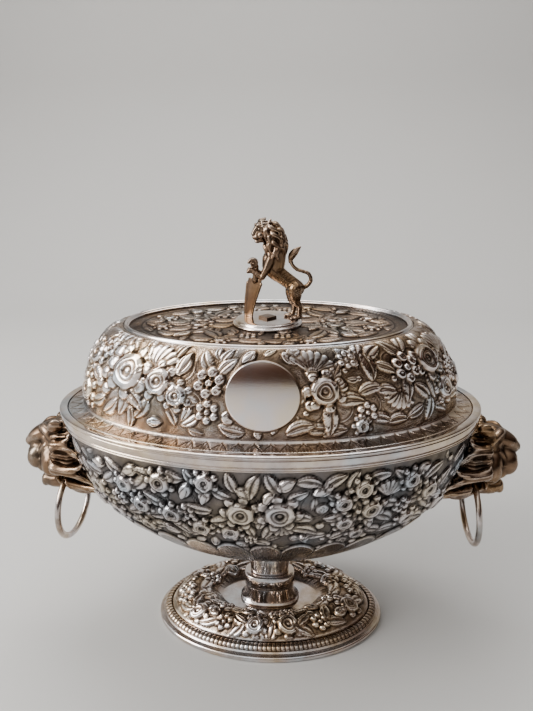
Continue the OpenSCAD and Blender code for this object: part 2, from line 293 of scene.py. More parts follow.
def even_rows(profile, step):
    """Profile points (half length, half width, level) respaced evenly along its mean section."""
    profile = np.asarray(profile, float)
    mean = (profile[:, 0] + profile[:, 1]) / 2
    run = np.concatenate([[0.0], np.cumsum(np.hypot(np.diff(mean), np.diff(profile[:, 2])))])
    count = int(round(run[-1] / step)) + 1
    along = np.linspace(0, run[-1], count)
    return np.column_stack([np.interp(along, run, profile[:, k]) for k in range(3)]), along


def grid_normals(points, around=True):
    """Unit normals of a grid of points, from the cross product of its two directions."""
    if around:
        side = np.roll(points, -1, 1) - np.roll(points, 1, 1)
    else:
        side = np.gradient(points, axis=1)
    up = np.gradient(points, axis=0)
    normal = np.cross(side, up)
    return normal / np.maximum(np.linalg.norm(normal, axis=-1, keepdims=True), 1e-9)


def new_relief(points, along, across, whole):
    """Blank sheet for embossing: x runs round the piece, y along its section, in millimetres."""
    rows, columns = points.shape[:2]
    length = np.linalg.norm(points - np.roll(points, 1, 1), axis=-1).sum(1)
    x, y = np.meshgrid(across, along)
    return {"x": x.ravel(), "y": y.ravel(), "along": along, "squeeze": length / whole, "whole": whole,
            "rise": np.zeros(rows * columns), "cut": np.zeros(rows * columns),
            "ground": np.ones(rows * columns)}


def emboss(relief, form, x, y, size, turn=0.0, lift=2.0, **shape):
    """Beats one motif into the sheet at (x, y), its tip turned clockwise from up by turn.

    The form gives the depth inside its outline, its height and its cut lines. Its edge is a
    steep quarter-round wall, what it covers shows faintly through, and the ground beside it
    is punched down.
    """
    whole = relief["whole"]
    squeeze = np.interp(y, relief["along"], relief["squeeze"])
    dx = ((relief["x"] - x + whole / 2) % whole - whole / 2) * squeeze
    dy = relief["y"] - y
    reach = size * 1.45 + 2.0
    near = np.nonzero((np.abs(dx) < reach) & (np.abs(dy) < reach))[0]
    dx, dy = dx[near] / size, dy[near] / size
    c, s = np.cos(np.radians(turn)), np.sin(np.radians(turn))
    depth, height, lines = form(dx * c - dy * s, dx * s + dy * c, **shape)
    depth = depth * size
    inside = depth > 0
    lift = lift * KEEN.get(form.__name__, 1.0)
    wall = np.sin(np.pi / 2 * np.clip(depth / min(1.5, 0.26 * size), 0, 1))
    old = relief["rise"][near]
    top = lift * (0.22 + 0.78 * height) * wall + 0.35 * np.clip(old, 0, None)
    relief["rise"][near] = np.where(inside, np.maximum(top, old * (1 - wall)),
                                    old - 0.22 * np.exp(-(depth / 1.2) ** 2) * (lift > 0.8))
    edge = np.exp(-(depth / 0.48) ** 2)
    relief["cut"][near] = np.where(inside, np.maximum(lines, edge * 0.5),
                                   np.maximum(relief["cut"][near], edge * 0.8))
    relief["ground"][near] *= 1 - smooth(depth / 0.6 + 0.5)


def lobes_round(x, y, count, middle, radius):
    """Distance from the nearest of count circle centres set round at the middle distance."""
    r, a = np.hypot(x, y), np.arctan2(y, x)
    turn = ((a * count / (2 * np.pi)) % 1 - 0.5) * 2 * np.pi / count
    return np.hypot(r * np.cos(turn) - middle, r * np.sin(turn)) / radius


def rose(x, y, lobes=7, heart=0.66):
    """Deep ball-like cup of two rolled lips with a button in it, over a ring of round petals."""
    r, a = np.hypot(x, y), np.arctan2(y, x)
    d = lobes_round(x, y, lobes, 0.76, 0.26)
    petal = 0.06 + 0.34 * np.sqrt(np.clip(1 - d ** 2, 0, 1)) - 0.12 * np.exp(-(d / 0.42) ** 2)
    q = r / heart
    uneven = 1 + 0.05 * np.sin(3 * a + 1.0)
    shoulder = 0.42 + 0.30 * np.sqrt(np.clip(1 - q ** 2, 0, 1))
    lips = 0.30 * np.exp(-((q * uneven - 0.66) / 0.13) ** 2) + 0.28 * np.exp(-((q * uneven
            - 0.36) / 0.10) ** 2)
    hollow = 0.55 * np.exp(-(q / 0.30) ** 2)
    button = 0.40 * np.exp(-(q / 0.15) ** 4)
    crease = np.exp(-((((q * 1.2) - a / (2 * np.pi)) % 1 - 0.5) / 0.05) ** 2) * (q > 0.45)
    cup = shoulder + lips - hollow + button - 0.06 * crease
    lines = np.maximum.reduce([np.exp(-((q - 1) / 0.06) ** 2), crease * 0.45,
                               np.exp(-((q * uneven - 0.51) / 0.045) ** 2) * 0.8,
                               np.exp(-((q - 0.23) / 0.07) ** 2),
                               np.exp(-((d - 1) / 0.12) ** 2) * 0.7 * (q > 1)])
    return np.maximum((1 - d) * 0.26, heart - r), np.where(q < 1, cup, petal), np.clip(lines, 0, 1)


def cabbage(x, y):
    """Closed rose: a ball wrapped by crescent petals, each cut by an off-centre circle."""
    r = np.hypot(x, y)
    lines, step = np.zeros_like(r), np.zeros_like(r)
    for k, (away, size) in enumerate([(0.30, 0.78), (0.34, 0.60), (0.26, 0.44), (0.14, 0.26)]):
        way = 2.4 * k + 0.6
        c = np.hypot(x - away * np.cos(way), y - away * np.sin(way)) - size
        lines = np.maximum(lines, np.exp(-(c / 0.045) ** 2))
        step += 0.10 * smooth(-c / 0.10)
    height = 0.25 + 0.50 * np.sqrt(np.clip(1 - r * r, 0, 1)) + step - 0.12 * lines
    return 1 - r - 0.05 * np.abs(np.sin(2.5 * np.arctan2(y, x))), height, lines * 0.85


def daisy(x, y, lobes=6):
    """Round ball-like petals, each with a dimple, about a round button."""
    r = np.hypot(x, y)
    d = lobes_round(x, y, lobes, 0.64, 0.36)
    petal = 0.10 + 0.72 * np.sqrt(np.clip(1 - d ** 2, 0, 1)) - 0.22 * np.exp(-(d / 0.33) ** 2)
    button = 0.55 + 0.45 * np.sqrt(np.clip(1 - (r / 0.26) ** 2, 0, 1)) - 0.4 * np.exp(-(r / 0.09) ** 2)
    lines = np.maximum.reduce([np.exp(-((r - 0.27) / 0.05) ** 2), np.exp(-((d - 1) / 0.12) ** 2) * 0.7,
                               np.exp(-(r / 0.07) ** 2), np.exp(-(d / 0.16) ** 2) * 0.55])
    return np.maximum((1 - d) * 0.36, 0.27 - r), np.where(r < 0.27, button, petal), lines


def leaf(x, y, veins=6, teeth=0.08, width=0.62, bend=0.20):
    """Pointed leaf: two swelling halves beside a sunk midrib, fine slanting veins, one side fuller."""
    x = x - bend * (y * y - 0.5)
    t = np.clip((y + 1) / 2, 0, 1)
    half = width * 2.0 * t ** 0.60 * (1 - t) ** 0.75 * (1 + teeth * np.abs(np.sin(np.pi * veins * 1.3 * t)))
    half = half * np.where(x > 0, 1.1, 0.9)
    depth = np.minimum(half - np.abs(x), 1 - np.abs(y))
    q = np.clip(np.abs(x) / np.maximum(half, 0.02), 0, 1)
    slant = ((t - 0.40 * np.abs(x)) * veins * 1.9) % 1
    vein = np.exp(-((slant - 0.5) / 0.13) ** 2) * (q > 0.10) * (q < 0.93)
    rib = np.exp(-(x / 0.05) ** 2) * (t < 0.96)
    height = 0.18 + 0.62 * np.sin(np.pi * np.clip(q, 0,
                                                  1) ** 0.8) * (0.55 + 0.45
                                                          * np.sin(np.pi * t)) - 0.10 * vein - 0.20 * rib
    return depth, height, np.maximum(vein * 0.45, rib * 0.85)


def fan(x, y, ribs=7, spread=62.0):
    """Shell of rounded ribs opening from its base."""
    r, a = np.hypot(x, y + 1) / 1.9, np.arctan2(x, y + 1)
    open_to = np.radians(spread)
    phase = (a / open_to + 1) / 2 * ribs
    rib = np.abs(np.sin(np.pi * phase))
    rim = 0.86 + 0.13 * rib ** 0.7
    depth = np.minimum((rim - r) * 1.9, (open_to - np.abs(a)) * r * 1.9)
    height = 0.25 + 0.65 * np.sin(np.pi * np.clip(r * 0.86, 0, 1)) * (0.6 + 0.4 * rib)
    return depth, height, np.exp(-(rib / 0.22) ** 2) * 0.85


def bud(x, y):
    """Half-open bud: a swelling body wrapped by two side petals that part at the tip."""
    t = np.clip((y + 1) / 2, 0, 1)
    half = 0.62 * np.sin(np.pi * t ** 0.85) ** 0.8 + 0.02
    depth = np.minimum(half - np.abs(x), 1 - np.abs(y))
    q = np.clip(np.abs(x) / half, 0, 1)
    parting = np.exp(-((q - 0.15 - 0.55 * t) / 0.09) ** 2) * (t > 0.25)
    height = 0.45 + 0.55 * np.sqrt(1 - q ** 2) * (1 - 0.3 * t) - 0.22 * parting
    return depth, height, parting * 0.9


def tendril(x, y, sweep=200.0, thick=0.10):
    """Thin round stem bent to an arc that starts at the bottom and curls to the right."""
    r, a = np.hypot(x, y), np.arctan2(x, -y) % (2 * np.pi)
    t = a / np.radians(sweep)
    reach = thick * np.clip(1.15 - t, 0, 1) ** 0.6
    depth = np.where(t < 1, reach - np.abs(r - 0.85), -1.0)
    return depth, 0.25 + 0 * r, np.zeros_like(r)


def boss(x, y):
    """Plain round berry."""
    r = np.hypot(x, y)
    return 1 - r, np.sqrt(np.clip(1 - r * r, 0, 1)), np.exp(-(r / 0.16) ** 2) * 0.5


KEEN = {"leaf": 0.56, "fan": 0.55, "bud": 0.95, "cabbage": 0.95, "daisy": 0.92, "boss": 0.75}
FORMS = {form.__name__: form for form in (rose, cabbage, daisy, leaf, fan, bud, tendril, boss)}


def embossed_grid(points, relief, depth=1.0):
    """Sheet pushed along its own normals by the relief."""
    normal = grid_normals(points)
    rise = relief["rise"].reshape(points.shape[:2])
    return points + normal * (rise * depth)[..., None]


chased = silver("chased_silver", clouds=0.42, aged=0.22, cut=0.50, ground=0.16, polish=0.22,
                rough=(0.15, 0.44), grain=0.10)


def softened(values, reach):
    """Running mean over reach cells both ways, wrapped round the piece."""
    for axis in (0, 1):
        pad = [(reach, reach) if k == axis else (0, 0) for k in (0, 1)]
        run = np.cumsum(np.pad(values, pad, mode="edge" if axis == 0 else "wrap"), axis=axis)
        run = np.insert(run, 0, 0, axis=axis)
        width = 2 * reach + 1
        ahead = np.take(run, range(width, run.shape[axis]), axis)
        values = (ahead - np.take(run, range(run.shape[axis] - width), axis)) / width
    return values


def relief_fields(relief, reach=3):
    """Vertex fields that the chased finish reads: cut lines and hollows, ground, and highs."""
    rise = relief["rise"].reshape(relief.get("rows", len(relief["along"])), -1)
    bulge = (rise - softened(softened(rise, reach), reach)).ravel()
    return {"cut": np.clip(relief["cut"] * 0.9 + np.clip(-bulge - 0.05, 0, 1) * 0.7, 0, 1.2),
            "ground": np.clip(relief["ground"], 0, 1), "polish": smooth(bulge / 0.55)}


def dented(relief, depth=0.16):
    """Gentle unevenness of hand-raised sheet: a sum of slow waves of unlike lengths."""
    x, y = relief["x"] * 2 * np.pi / relief["whole"], relief["y"] / 6.0
    waves = sum(np.sin(k * x + c * y + p) for k, c,
                p in ((31, 1.1, 0.3), (-47, 0.7, 1.9), (59, -1.3, 4.0), (-83, 1.9, 2.2)))
    relief["rise"] += depth * 0.5 * waves


def fill_gaps(relief, low, high, tries, seed, sizes=(3.6, 6.2)):
    """Scatters small leaves, buds and berries over what ground is left, twice round the piece."""
    chance = np.random.default_rng(seed)
    rows = len(relief["along"])
    columns = relief["rise"].size // rows
    ground = relief["ground"].reshape(rows, columns)
    for _ in range(tries):
        x, y = chance.uniform(0, relief["whole"] / 2), chance.uniform(low, high)
        size, turn = chance.uniform(*sizes), chance.uniform(0, 360)
        kind = chance.choice(["leaf", "leaf", "leaf", "bud", "boss", "cabbage", "tendril"])
        size = size * (0.5 if kind == "boss" else 1.5 if kind == "tendril" else 1.0)
        around = np.array([(0, 0), (1, 0), (-1, 0), (0, 1), (0, -1)]) * size * 0.55 + (x, y)
        row = np.interp(around[:, 1], relief["along"], np.arange(rows)).astype(int)
        column = (around[:, 0] / relief["whole"] * columns).astype(int) % columns
        if ground[np.clip(row, 0, rows - 1), column].mean() < 0.95:
            continue
        for half in (0.0, relief["whole"] / 2):
            emboss(relief, FORMS[kind], x + half, y, size, turn, 0.7 if kind == "tendril" else 1.3)


foot_turn, foot_whole = oval_turn(70.0, 41.9, 700)
t = np.linspace(0, 1, 60)
swell = np.column_stack([blend_of(72, 36, t), blend_of(43.6, 19.5, t),
                         blend_of(9.4, 11.2, t) + 7.2 * np.sin(np.pi * t ** 0.85)])
foot_profile = np.vstack([[(82.4, 51.9, foot_top), (80.6, 50.1, 4.2), (80.3, 49.8, 5.0), (75.1, 44.6, 5.0),
                           (74.8, 44.3, 7.4), (73.4, 44.6, 8.6)], swell,
                          [(30, 18.4, 10.7), (21, 12.5, 10.5)]])
foot_rows, foot_along = even_rows(foot_profile, 0.62)
foot_sheet = around_oval(foot_rows, foot_turn)
foot_relief = new_relief(foot_sheet, foot_along, np.arange(700) * foot_whole / 700, foot_whole)
dented(foot_relief)
foot_flowers = [("leaf", 6, 34, 7, 10), ("daisy", 20, 36, 6, 0), ("leaf", 33, 35, 8, 80),
                ("cabbage", 48, 37, 6, 0), ("leaf", 60, 35, 8, 70),
                ("daisy", 74, 36, 6.5, 0), ("leaf", 86, 35, 8, 100), ("leaf", -8, 35, 7, 330),
                ("cabbage", -20, 36, 6, 0), ("leaf", -33, 35, 8, 290),
                ("daisy", -47, 37, 6, 0), ("leaf", -60, 36, 8, 260), ("cabbage", -73, 35, 6.5, 0),
                ("leaf", -86, 36, 8, 280),
                ("leaf", 3, 17, 8, 200), ("leaf", -3, 17, 7, 160), ("rose", -10, 22, 10.3, 0),
                ("rose", 16, 23, 11.7, 20),
                ("leaf", 27, 17, 8, 130), ("leaf", 30, 25, 7, 60), ("daisy", 41, 21, 7, 10),
                ("leaf", 52, 18, 8, 110),
                ("leaf", 51, 27, 7, 40), ("bud", 61, 22, 6, 80), ("rose", 72, 22, 9.7, 0),
                ("leaf", 82, 19, 7.5, 120),
                ("daisy", 91, 23, 6.5, 0), ("leaf", -22, 17, 8, 215), ("leaf", -24, 25, 7, 300),
                ("daisy", -34, 21, 7, 0),
                ("leaf", -45, 18, 8, 240), ("bud", -47, 26, 6, 300), ("rose", -58, 21, 10.3, 30),
                ("leaf", -69, 19, 8, 260),
                ("leaf", -68, 27, 7, 320), ("daisy", -79, 22, 7, 0), ("leaf", -88, 19, 7, 250)]
for half in (0.0, foot_whole / 2):
    for kind, x, y, size, turn in foot_flowers:
        emboss(foot_relief, FORMS[kind], x + half, y, size, turn, 2.6)
fill_gaps(foot_relief, 14, 42, 160, 3)
calm = smooth((foot_along - 12.0) / 2.0) * (1 - smooth((foot_along - 42.0) / 4.0))
foot_relief["rise"] *= np.repeat(calm, 700)
foot_relief["ground"] *= np.repeat(calm, 700)
foot_relief["cut"] *= np.repeat(calm, 700)
foot_outer = embossed_grid(foot_sheet, foot_relief)
lay_mesh("foot_sheet", foot_outer, grid_faces(len(foot_rows), 700), chased, "base", ["foot_dome"],
         relief_fields(foot_relief))

# ---- Bead wire of the foot -------------------------------------------------------------
# A milled wire is soldered to the flat round the foot: close upright bars with round tops.

bead_count, bar_steps = 128, 10
wire_a, wire_b, wire_low, _ = size_of("foot_bead_band")
bead_turn, _ = oval_turn(wire_a - 2.4, wire_b - 2.4, bead_count * bar_steps)
bar_wave = np.abs(np.sin(np.pi * np.arange(bead_count * bar_steps) / bar_steps)) ** 0.7
bead_path = section([(-4.8, wire_low), (-0.1, wire_low), (0.0, wire_low + 1.2), (-1.2, wire_low + 2.6),
                     (-3.6, wire_low + 3.2), (-4.8, wire_low + 3.0)], 0.6)
bead_rows = np.column_stack([wire_a + bead_path[:, 0], wire_b + bead_path[:, 0], bead_path[:, 1]])
bead_points = around_oval(bead_rows, bead_turn)
groove = 0.34 * (1 - bar_wave)
bead_points[..., 2] -= groove[None, :] * smooth((bead_path[:, 1] - wire_low) / 1.5)[:, None]
shrink = 1 - 0.0045 * (1 - bar_wave)[None, :] * smooth((bead_path[:, 0] + 3.0) / 2.0)[:, None]
bead_points[..., :2] *= shrink[..., None]
lay_mesh("foot_bead_wire", bead_points, grid_faces(len(bead_rows), bead_count * bar_steps, ring=True),
         silver("bead_silver", clouds=0.4, aged=0.26, cut=0.7, rough=(0.16, 0.45), grain=0.08), "base",
         ["foot_bead_band"],
         fields={"cut": np.tile((1 - bar_wave) ** 2, (len(bead_rows), 1))})

# ---- Stem ------------------------------------------------------------------------------
# Three cast collars, soldered one on another: a flare on the foot, an upright band and a
# waisted collar under the bowl. Their section is a squarish oval.


def collar(name, profile, node):
    """Closed turned-looking collar: profile rows (half length, half width, level), flat ends."""
    turn = np.linspace(0, 2 * np.pi, 160, endpoint=False)
    profile = np.asarray(profile, float)
    rows = np.vstack([profile[:1] * [0.02, 0.02, 1], profile[:1] * [0.9, 0.9, 1], profile,
                      profile[-1:] * [0.9, 0.9, 1], profile[-1:] * [0.02, 0.02, 1]])
    return lay_mesh(name, around_oval(rows, turn, 2.5), grid_faces(len(rows), 160), polished, "base", [node])


flare_a, flare_b, flare_low, band_low = size_of("stem_lower")
band_a, band_b, _, band_top = size_of("stem_band")
seat_a, seat_b, _, bowl_seat = size_of("stem_upper")
t = np.linspace(0, 1, 24)
flare = np.column_stack([blend_of(flare_a, band_a - 1.2, t ** 0.55) - 0.4 * np.sin(np.pi * t),
                         blend_of(flare_b, band_b - 1.2, t ** 0.55), blend_of(flare_low + 1.1, band_low, t)])
collar("stem_flare",
       np.vstack([[(flare_a - 0.6, flare_b - 0.6, flare_low), (flare_a, flare_b, flare_low + 0.4)],
                                flare]), "stem_lower")
collar("stem_ring", [(band_a - inset, band_b - inset, level) for inset, level in [
    (1.2, band_low), (0.3, band_low + 0.4), (0.0, band_low + 1.2), (0.0, (band_low + band_top) / 2),
    (0.0, band_top - 1.2), (0.3, band_top - 0.4), (1.2, band_top)]], "stem_band")
waist = np.column_stack([blend_of(seat_a - 2.4, seat_a, t ** 1.8), blend_of(seat_b - 1.4, seat_b, t ** 1.8),
                         blend_of(band_top, bowl_seat, t)])
collar("stem_waist", waist, "stem_upper")

# ---- Bowl ------------------------------------------------------------------------------
# Raised from one sheet: flowers and leaves beaten out over a matted ground, a calyx of
# overlapping scales underneath, and a plain inside. It is meshed as a front and a back half.

bowl_a, bowl_b, bowl_seat, bowl_edge = size_of("bowl_shell")
bowl_shoulder = bowl_edge - 8.0
bowl_columns = 940


def bowl_profile(u):
    """Section of the bowl for u from 0 at the seat to 1 at the rim: a soft superellipse."""
    side = 1 - (1 - u ** 1.957) ** (1 / 1.775)
    return np.column_stack([blend_of(seat_a, bowl_a, u), blend_of(seat_b, bowl_b, u),
                            blend_of(bowl_seat, bowl_shoulder, side)])


bowl_turn, bowl_whole = oval_turn(bowl_a, bowl_b, bowl_columns)
bowl_rows, bowl_along = even_rows(bowl_profile(np.linspace(0, 1, 3000) ** 0.6), 0.80)
bowl_sheet = around_oval(bowl_rows, bowl_turn)
bowl_relief = new_relief(bowl_sheet, bowl_along, np.arange(bowl_columns) * bowl_whole / bowl_columns,
                         bowl_whole)
bowl_depth = bowl_along[-1]


def calyx(relief, scales, top, notch):
    """Overlapping scales under the bowl: each outline is an arch; inside it the sheet swells
    towards the arch and is cut by fine fanned lines."""
    x, y = relief["x"], relief["y"]
    phase = (x / relief["whole"] * scales + 0.5) % 1 - 0.5
    arch = notch + (top - notch) * np.sqrt(np.clip(1 - np.abs(2 * phase) ** 1.8, 0, 1))
    depth = arch - y
    inside = depth > 0
    swell = 1.7 * np.exp(-depth / 9.0) * np.sin(np.pi / 2 * np.clip(depth / 1.6, 0, 1))
    seam = np.exp(-((0.5 - np.abs(phase)) / 0.03) ** 2)
    rays = np.exp(-(((phase * 9) % 1 - 0.5) / 0.14) ** 2) * 0.35
    relief["rise"] = np.where(inside, swell - 0.7 * seam * np.exp(-np.clip(notch - y, 0, None) / 12),
                              relief["rise"])
    relief["cut"] = np.where(inside, np.maximum(rays * np.exp(-depth / 16), seam * 0.8 * np.exp(-depth / 20)),
                             relief["cut"])
    relief["cut"] = np.maximum(relief["cut"], np.exp(-(depth / 0.9) ** 2))
    relief["ground"] = np.where(inside, 0.0, relief["ground"])


bowl_flowers = [
    # big pair at the front with what surrounds it
    ("leaf", -2, 38, 8, 190), ("leaf", 24, 34, 10, 100), ("leaf", -28, 38, 10, 250), ("leaf", 2, 49, 7, 200),
    ("rose", -15, 31, 13.8, 0), ("rose", 11, 31, 15.2, 30), ("fan", 13, 46, 6.9, 180),
    ("leaf", -10, 48, 7, 160),
    ("rose", -24, 48, 9.7, 0), ("leaf", -37, 47, 9, 240), ("leaf", 30, 46, 9, 110), ("leaf", 38, 53, 8, 80),
    ("leaf", -52, 52, 8, 230), ("rose", -45, 46, 9.7, 15), ("bud", 30, 55, 5, 150), ("daisy", -10, 56, 5, 0),
    # upper row
    ("leaf", -6, 10, 9, 20), ("leaf", 6, 8, 9, 330), ("bud", -12, 15, 7, 300), ("bud", 4, 18, 6, 40),
    ("bud", 15, 9, 7, 60), ("leaf", 22, 18, 8, 60), ("leaf", 30, 8, 9, 100), ("bud", 38, 14, 7, 250),
    ("leaf", 46, 8, 9, 60), ("leaf", 48, 20, 8, 290), ("rose", 53, 24, 9.7, 0), ("leaf", 58, 9, 8, 20),
    ("rose", 65, 15, 10.3, 0), ("leaf", 75, 8, 9, 80), ("fan", 84, 17, 7.3, 10), ("leaf", 92, 9, 8, 300),
    ("rose", 99, 14, 9.7, 0), ("leaf", 106, 20, 8, 160), ("bud", 108, 8, 6, 60), ("leaf", 118, 12, 9, 60),
    ("leaf", -20, 8, 8, 340), ("leaf", -28, 16, 8, 300), ("rose", -37, 9, 9.7, 0), ("bud", -38, 19, 7, 200),
    ("leaf", -46, 7, 8, 320), ("bud", -51, 17, 7, 210), ("leaf", -60, 8, 9, 280), ("rose", -68, 13, 11, 0),
    ("leaf", -78, 9, 9, 280), ("leaf", -84, 17, 9, 230), ("bud", -90, 9, 7, 250), ("rose", -97, 20, 9.7, 0),
    ("leaf", -104, 10, 9, 300), ("leaf", -112, 20, 8, 240), ("bud", -118, 10, 6, 280),
    ("leaf", -126, 17, 9, 280),
    # middle row
    ("leaf", 62, 28, 8, 130), ("rose", 74, 32, 11, 0), ("leaf", 86, 30, 9, 100), ("leaf", 64, 38, 8, 200),
    ("rose", 57, 42, 9, 0), ("leaf", 50, 36, 9, 260), ("bud", 76, 44, 6, 160), ("leaf", 88, 42, 9, 120),
    ("daisy", 98, 34, 7, 0), ("leaf", 110, 32, 9, 90), ("rose", 70, 54, 8.3, 0), ("leaf", 84, 54, 8, 110),
    ("leaf", 58, 54, 8, 60), ("leaf", -44, 30, 9, 280), ("daisy", -54, 34, 7, 0), ("rose", -65, 37, 10.3, 0),
    ("leaf", -76, 28, 9, 300), ("leaf", -77, 40, 10, 250), ("rose", -88, 34, 9.7, 0),
    ("leaf", -98, 42, 9, 240),
    ("bud", -72, 53, 6.5, 120), ("leaf", -84, 52, 8, 260), ("leaf", -62, 50, 8, 140),
    ("daisy", -108, 34, 7, 0),
    ("leaf", -118, 40, 9, 250), ("leaf", -104, 54, 8, 250), ("rose", -94, 55, 8.3, 0),
    # towards the handles
    ("rose", 118, 26, 10.3, 0), ("leaf", 124, 40, 9, 130), ("rose", 110, 48, 9.7, 0), ("leaf", 98, 56, 8, 90),
    ("leaf", 132, 22, 9, 30), ("bud", 130, 34, 7, 110), ("leaf", 126, 54, 9, 110), ("rose", 142, 46, 11, 0),
    ("leaf", 155, 42, 9, 60), ("daisy", 158, 56, 7, 0), ("leaf", 170, 48, 9, 90), ("leaf", 144, 60, 8, 140),
    ("rose", 176, 58, 9.7, 0), ("leaf", 150, 20, 9, 20), ("leaf", 165, 14, 9, 340), ("leaf", 145, 8, 8, 60),
    ("rose", -128, 30, 10.3, 0), ("leaf", -136, 20, 9, 320), ("leaf", -138, 42, 9, 230),
    ("rose", -122, 50, 9.7, 0),
    ("leaf", -135, 56, 8, 250), ("rose", -150, 50, 11, 0), ("leaf", -160, 42, 9, 300),
    ("leaf", -164, 58, 9, 260),
    ("daisy", -172, 50, 7, 0), ("leaf", -148, 8, 8, 300), ("leaf", -155, 22, 9, 340),
    ("leaf", -168, 14, 9, 20),
    ("leaf", -180, 60, 8, 180)]
dented(bowl_relief)
for half in (0.0, bowl_whole / 2):
    for side in (-1, 1):
        for x in np.arange(12, 180, 21.0):
            emboss(bowl_relief, tendril, side * x + half, bowl_depth - 26, 11, 40 * side + 90, 1.0,
                   thick=0.09)
            emboss(bowl_relief, tendril, side * x + 9 + half, bowl_depth - 48, 9, -60 * side, 1.0, thick=0.10)
    for kind, x, drop, size, turn in sorted(bowl_flowers, key=lambda f: (f[0] in ("rose", "daisy"), f[3])):
        emboss(bowl_relief, FORMS[kind], x + half, bowl_depth - drop, size, turn, 3.3 if size > 9 else 2.6)
fill_gaps(bowl_relief, bowl_depth - 72, bowl_depth - 3, 900, 5)
calyx(bowl_relief, 26, bowl_depth - 62.5, bowl_depth - 76.5)
edge_calm = np.repeat(smooth((bowl_depth - bowl_along - 0.5) / 2.5), bowl_columns)
bowl_relief["rise"] *= edge_calm
bowl_outer = embossed_grid(bowl_sheet, bowl_relief)
bowl_outer_normals = grid_normals(bowl_outer)
bowl_fields = relief_fields(bowl_relief)


def halves(name, points, normals, fields, material, body, nodes):
    """Lays a full grid as a front and a back half that share their end columns and normals."""
    rows, columns = points.shape[:2]
    quarter = columns // 4
    for side, first in (("front", -quarter), ("back", quarter)):
        pick = np.arange(first, first + columns // 2 + 1) % columns
        lay_mesh(f"{name}_{side}", points[:, pick], grid_faces(rows, len(pick), around=False), material, body,
                 nodes,
                 {title: values.reshape(rows, columns)[:, pick] for title, values in fields.items()},
                 normals[:, pick])


# The bowl has heavier tarnish than the other silver. Its darker, cooler tones are partly painted dark
# reflection: the colour is darkened to stand in for the dark surroundings the bowl mirrors.
bowl_tarnish_and_painted_dark = silver("bowl_silver_tarnish_and_painted_dark", clouds=0.36, aged=0.40, cut=0.50, ground=0.16, polish=0.32,
                     rough=(0.14, 0.42), grain=0.10,
                     tones=((0.74, 0.75, 0.76), (0.235, 0.228, 0.222), (0.022, 0.020, 0.019)))
halves("bowl", bowl_outer, bowl_outer_normals, bowl_fields, bowl_tarnish_and_painted_dark, "base", ["bowl_shell"])

lining_turn, _ = oval_turn(bowl_a, bowl_b, 240)
lining_rows = np.vstack([bowl_profile(np.linspace(0, 1, 60)) - [1.6, 1.6, -0.6],
                         [(bowl_a - 1.6, bowl_b - 1.6, bowl_edge)]])
lining_rows = np.vstack([lining_rows[:1] * [0.01, 0.01, 1], lining_rows])
lay_mesh("bowl_lining", around_oval(lining_rows, lining_turn)[::-1], grid_faces(len(lining_rows), 240),
         polished, "base", ["bowl_shell"])

# ---- Rim of the bowl -------------------------------------------------------------------
# Drawn moulding soldered round the bowl: a bead on top, a broad smooth band, fine reeds
# below, and a ledge inside that the lid's flange sits on.

rim_a, rim_b, rim_low, rim_top = size_of("bowl_rim")
reeds = [(bowl_a - rim_a - 0.2, rim_low + 0.2), (bowl_a - rim_a + 2.6, rim_low), (-3.0, rim_low + 0.7),
         (-3.0, rim_low + 1.3),
         (-3.4, rim_low + 1.6), (-2.6, rim_low + 1.9), (-2.2, rim_low + 2.6), (-2.2, rim_low + 3.2),
         (-2.7, rim_low + 3.6),
         (-1.9, rim_low + 4.0), (-1.3, rim_low + 4.8), (-0.9, rim_low + 6.8), (-0.9, rim_low + 8.6),
         (-1.3, rim_low + 9.3),
         (-0.6, rim_low + 9.7), (0.0, rim_low + 10.6), (-0.3, rim_top - 0.5), (-1.6, rim_top),
         (-4.6, rim_top),
         (-5.8, rim_top - 0.5), (-5.8, rim_top - 2.7), (-12.0, rim_top - 2.7), (-12.0, bowl_edge),
         (bowl_a - rim_a - 0.2, bowl_edge)]
oval_moulding("rim_moulding", rim_a, rim_b, reeds, polished, "base", ["bowl_rim"], round_by=0.45, columns=480)

# ---- Lion masks ------------------------------------------------------------------------
# One cast lion's head is soldered to each end of the bowl, its mane spreading over the wall
# and the rim, and its open mouth carries the ring. Each is modelled as lumps of clay that
# are joined, remeshed to one skin, smoothed, and darkened in its hollows.


def curve_of(points, count):
    """Catmull-Rom curve through rows of numbers, so place and thickness run together."""
    points = np.asarray(points, float)
    padded = np.vstack([2 * points[0] - points[1], points, 2 * points[-1] - points[-2]])
    at = np.linspace(0, len(points) - 1 - 1e-9, count)
    i, t = at.astype(int), (at % 1)[:, None]
    p0, p1, p2, p3 = padded[i], padded[i + 1], padded[i + 2], padded[i + 3]
    return 0.5 * (2 * p1 + (p2 - p0) * t + (2 * p0 - 5 * p1 + 4 * p2 - p3) * t ** 2
                  + (3 * p1 - p0 - 3 * p2 + p3) * t ** 3)


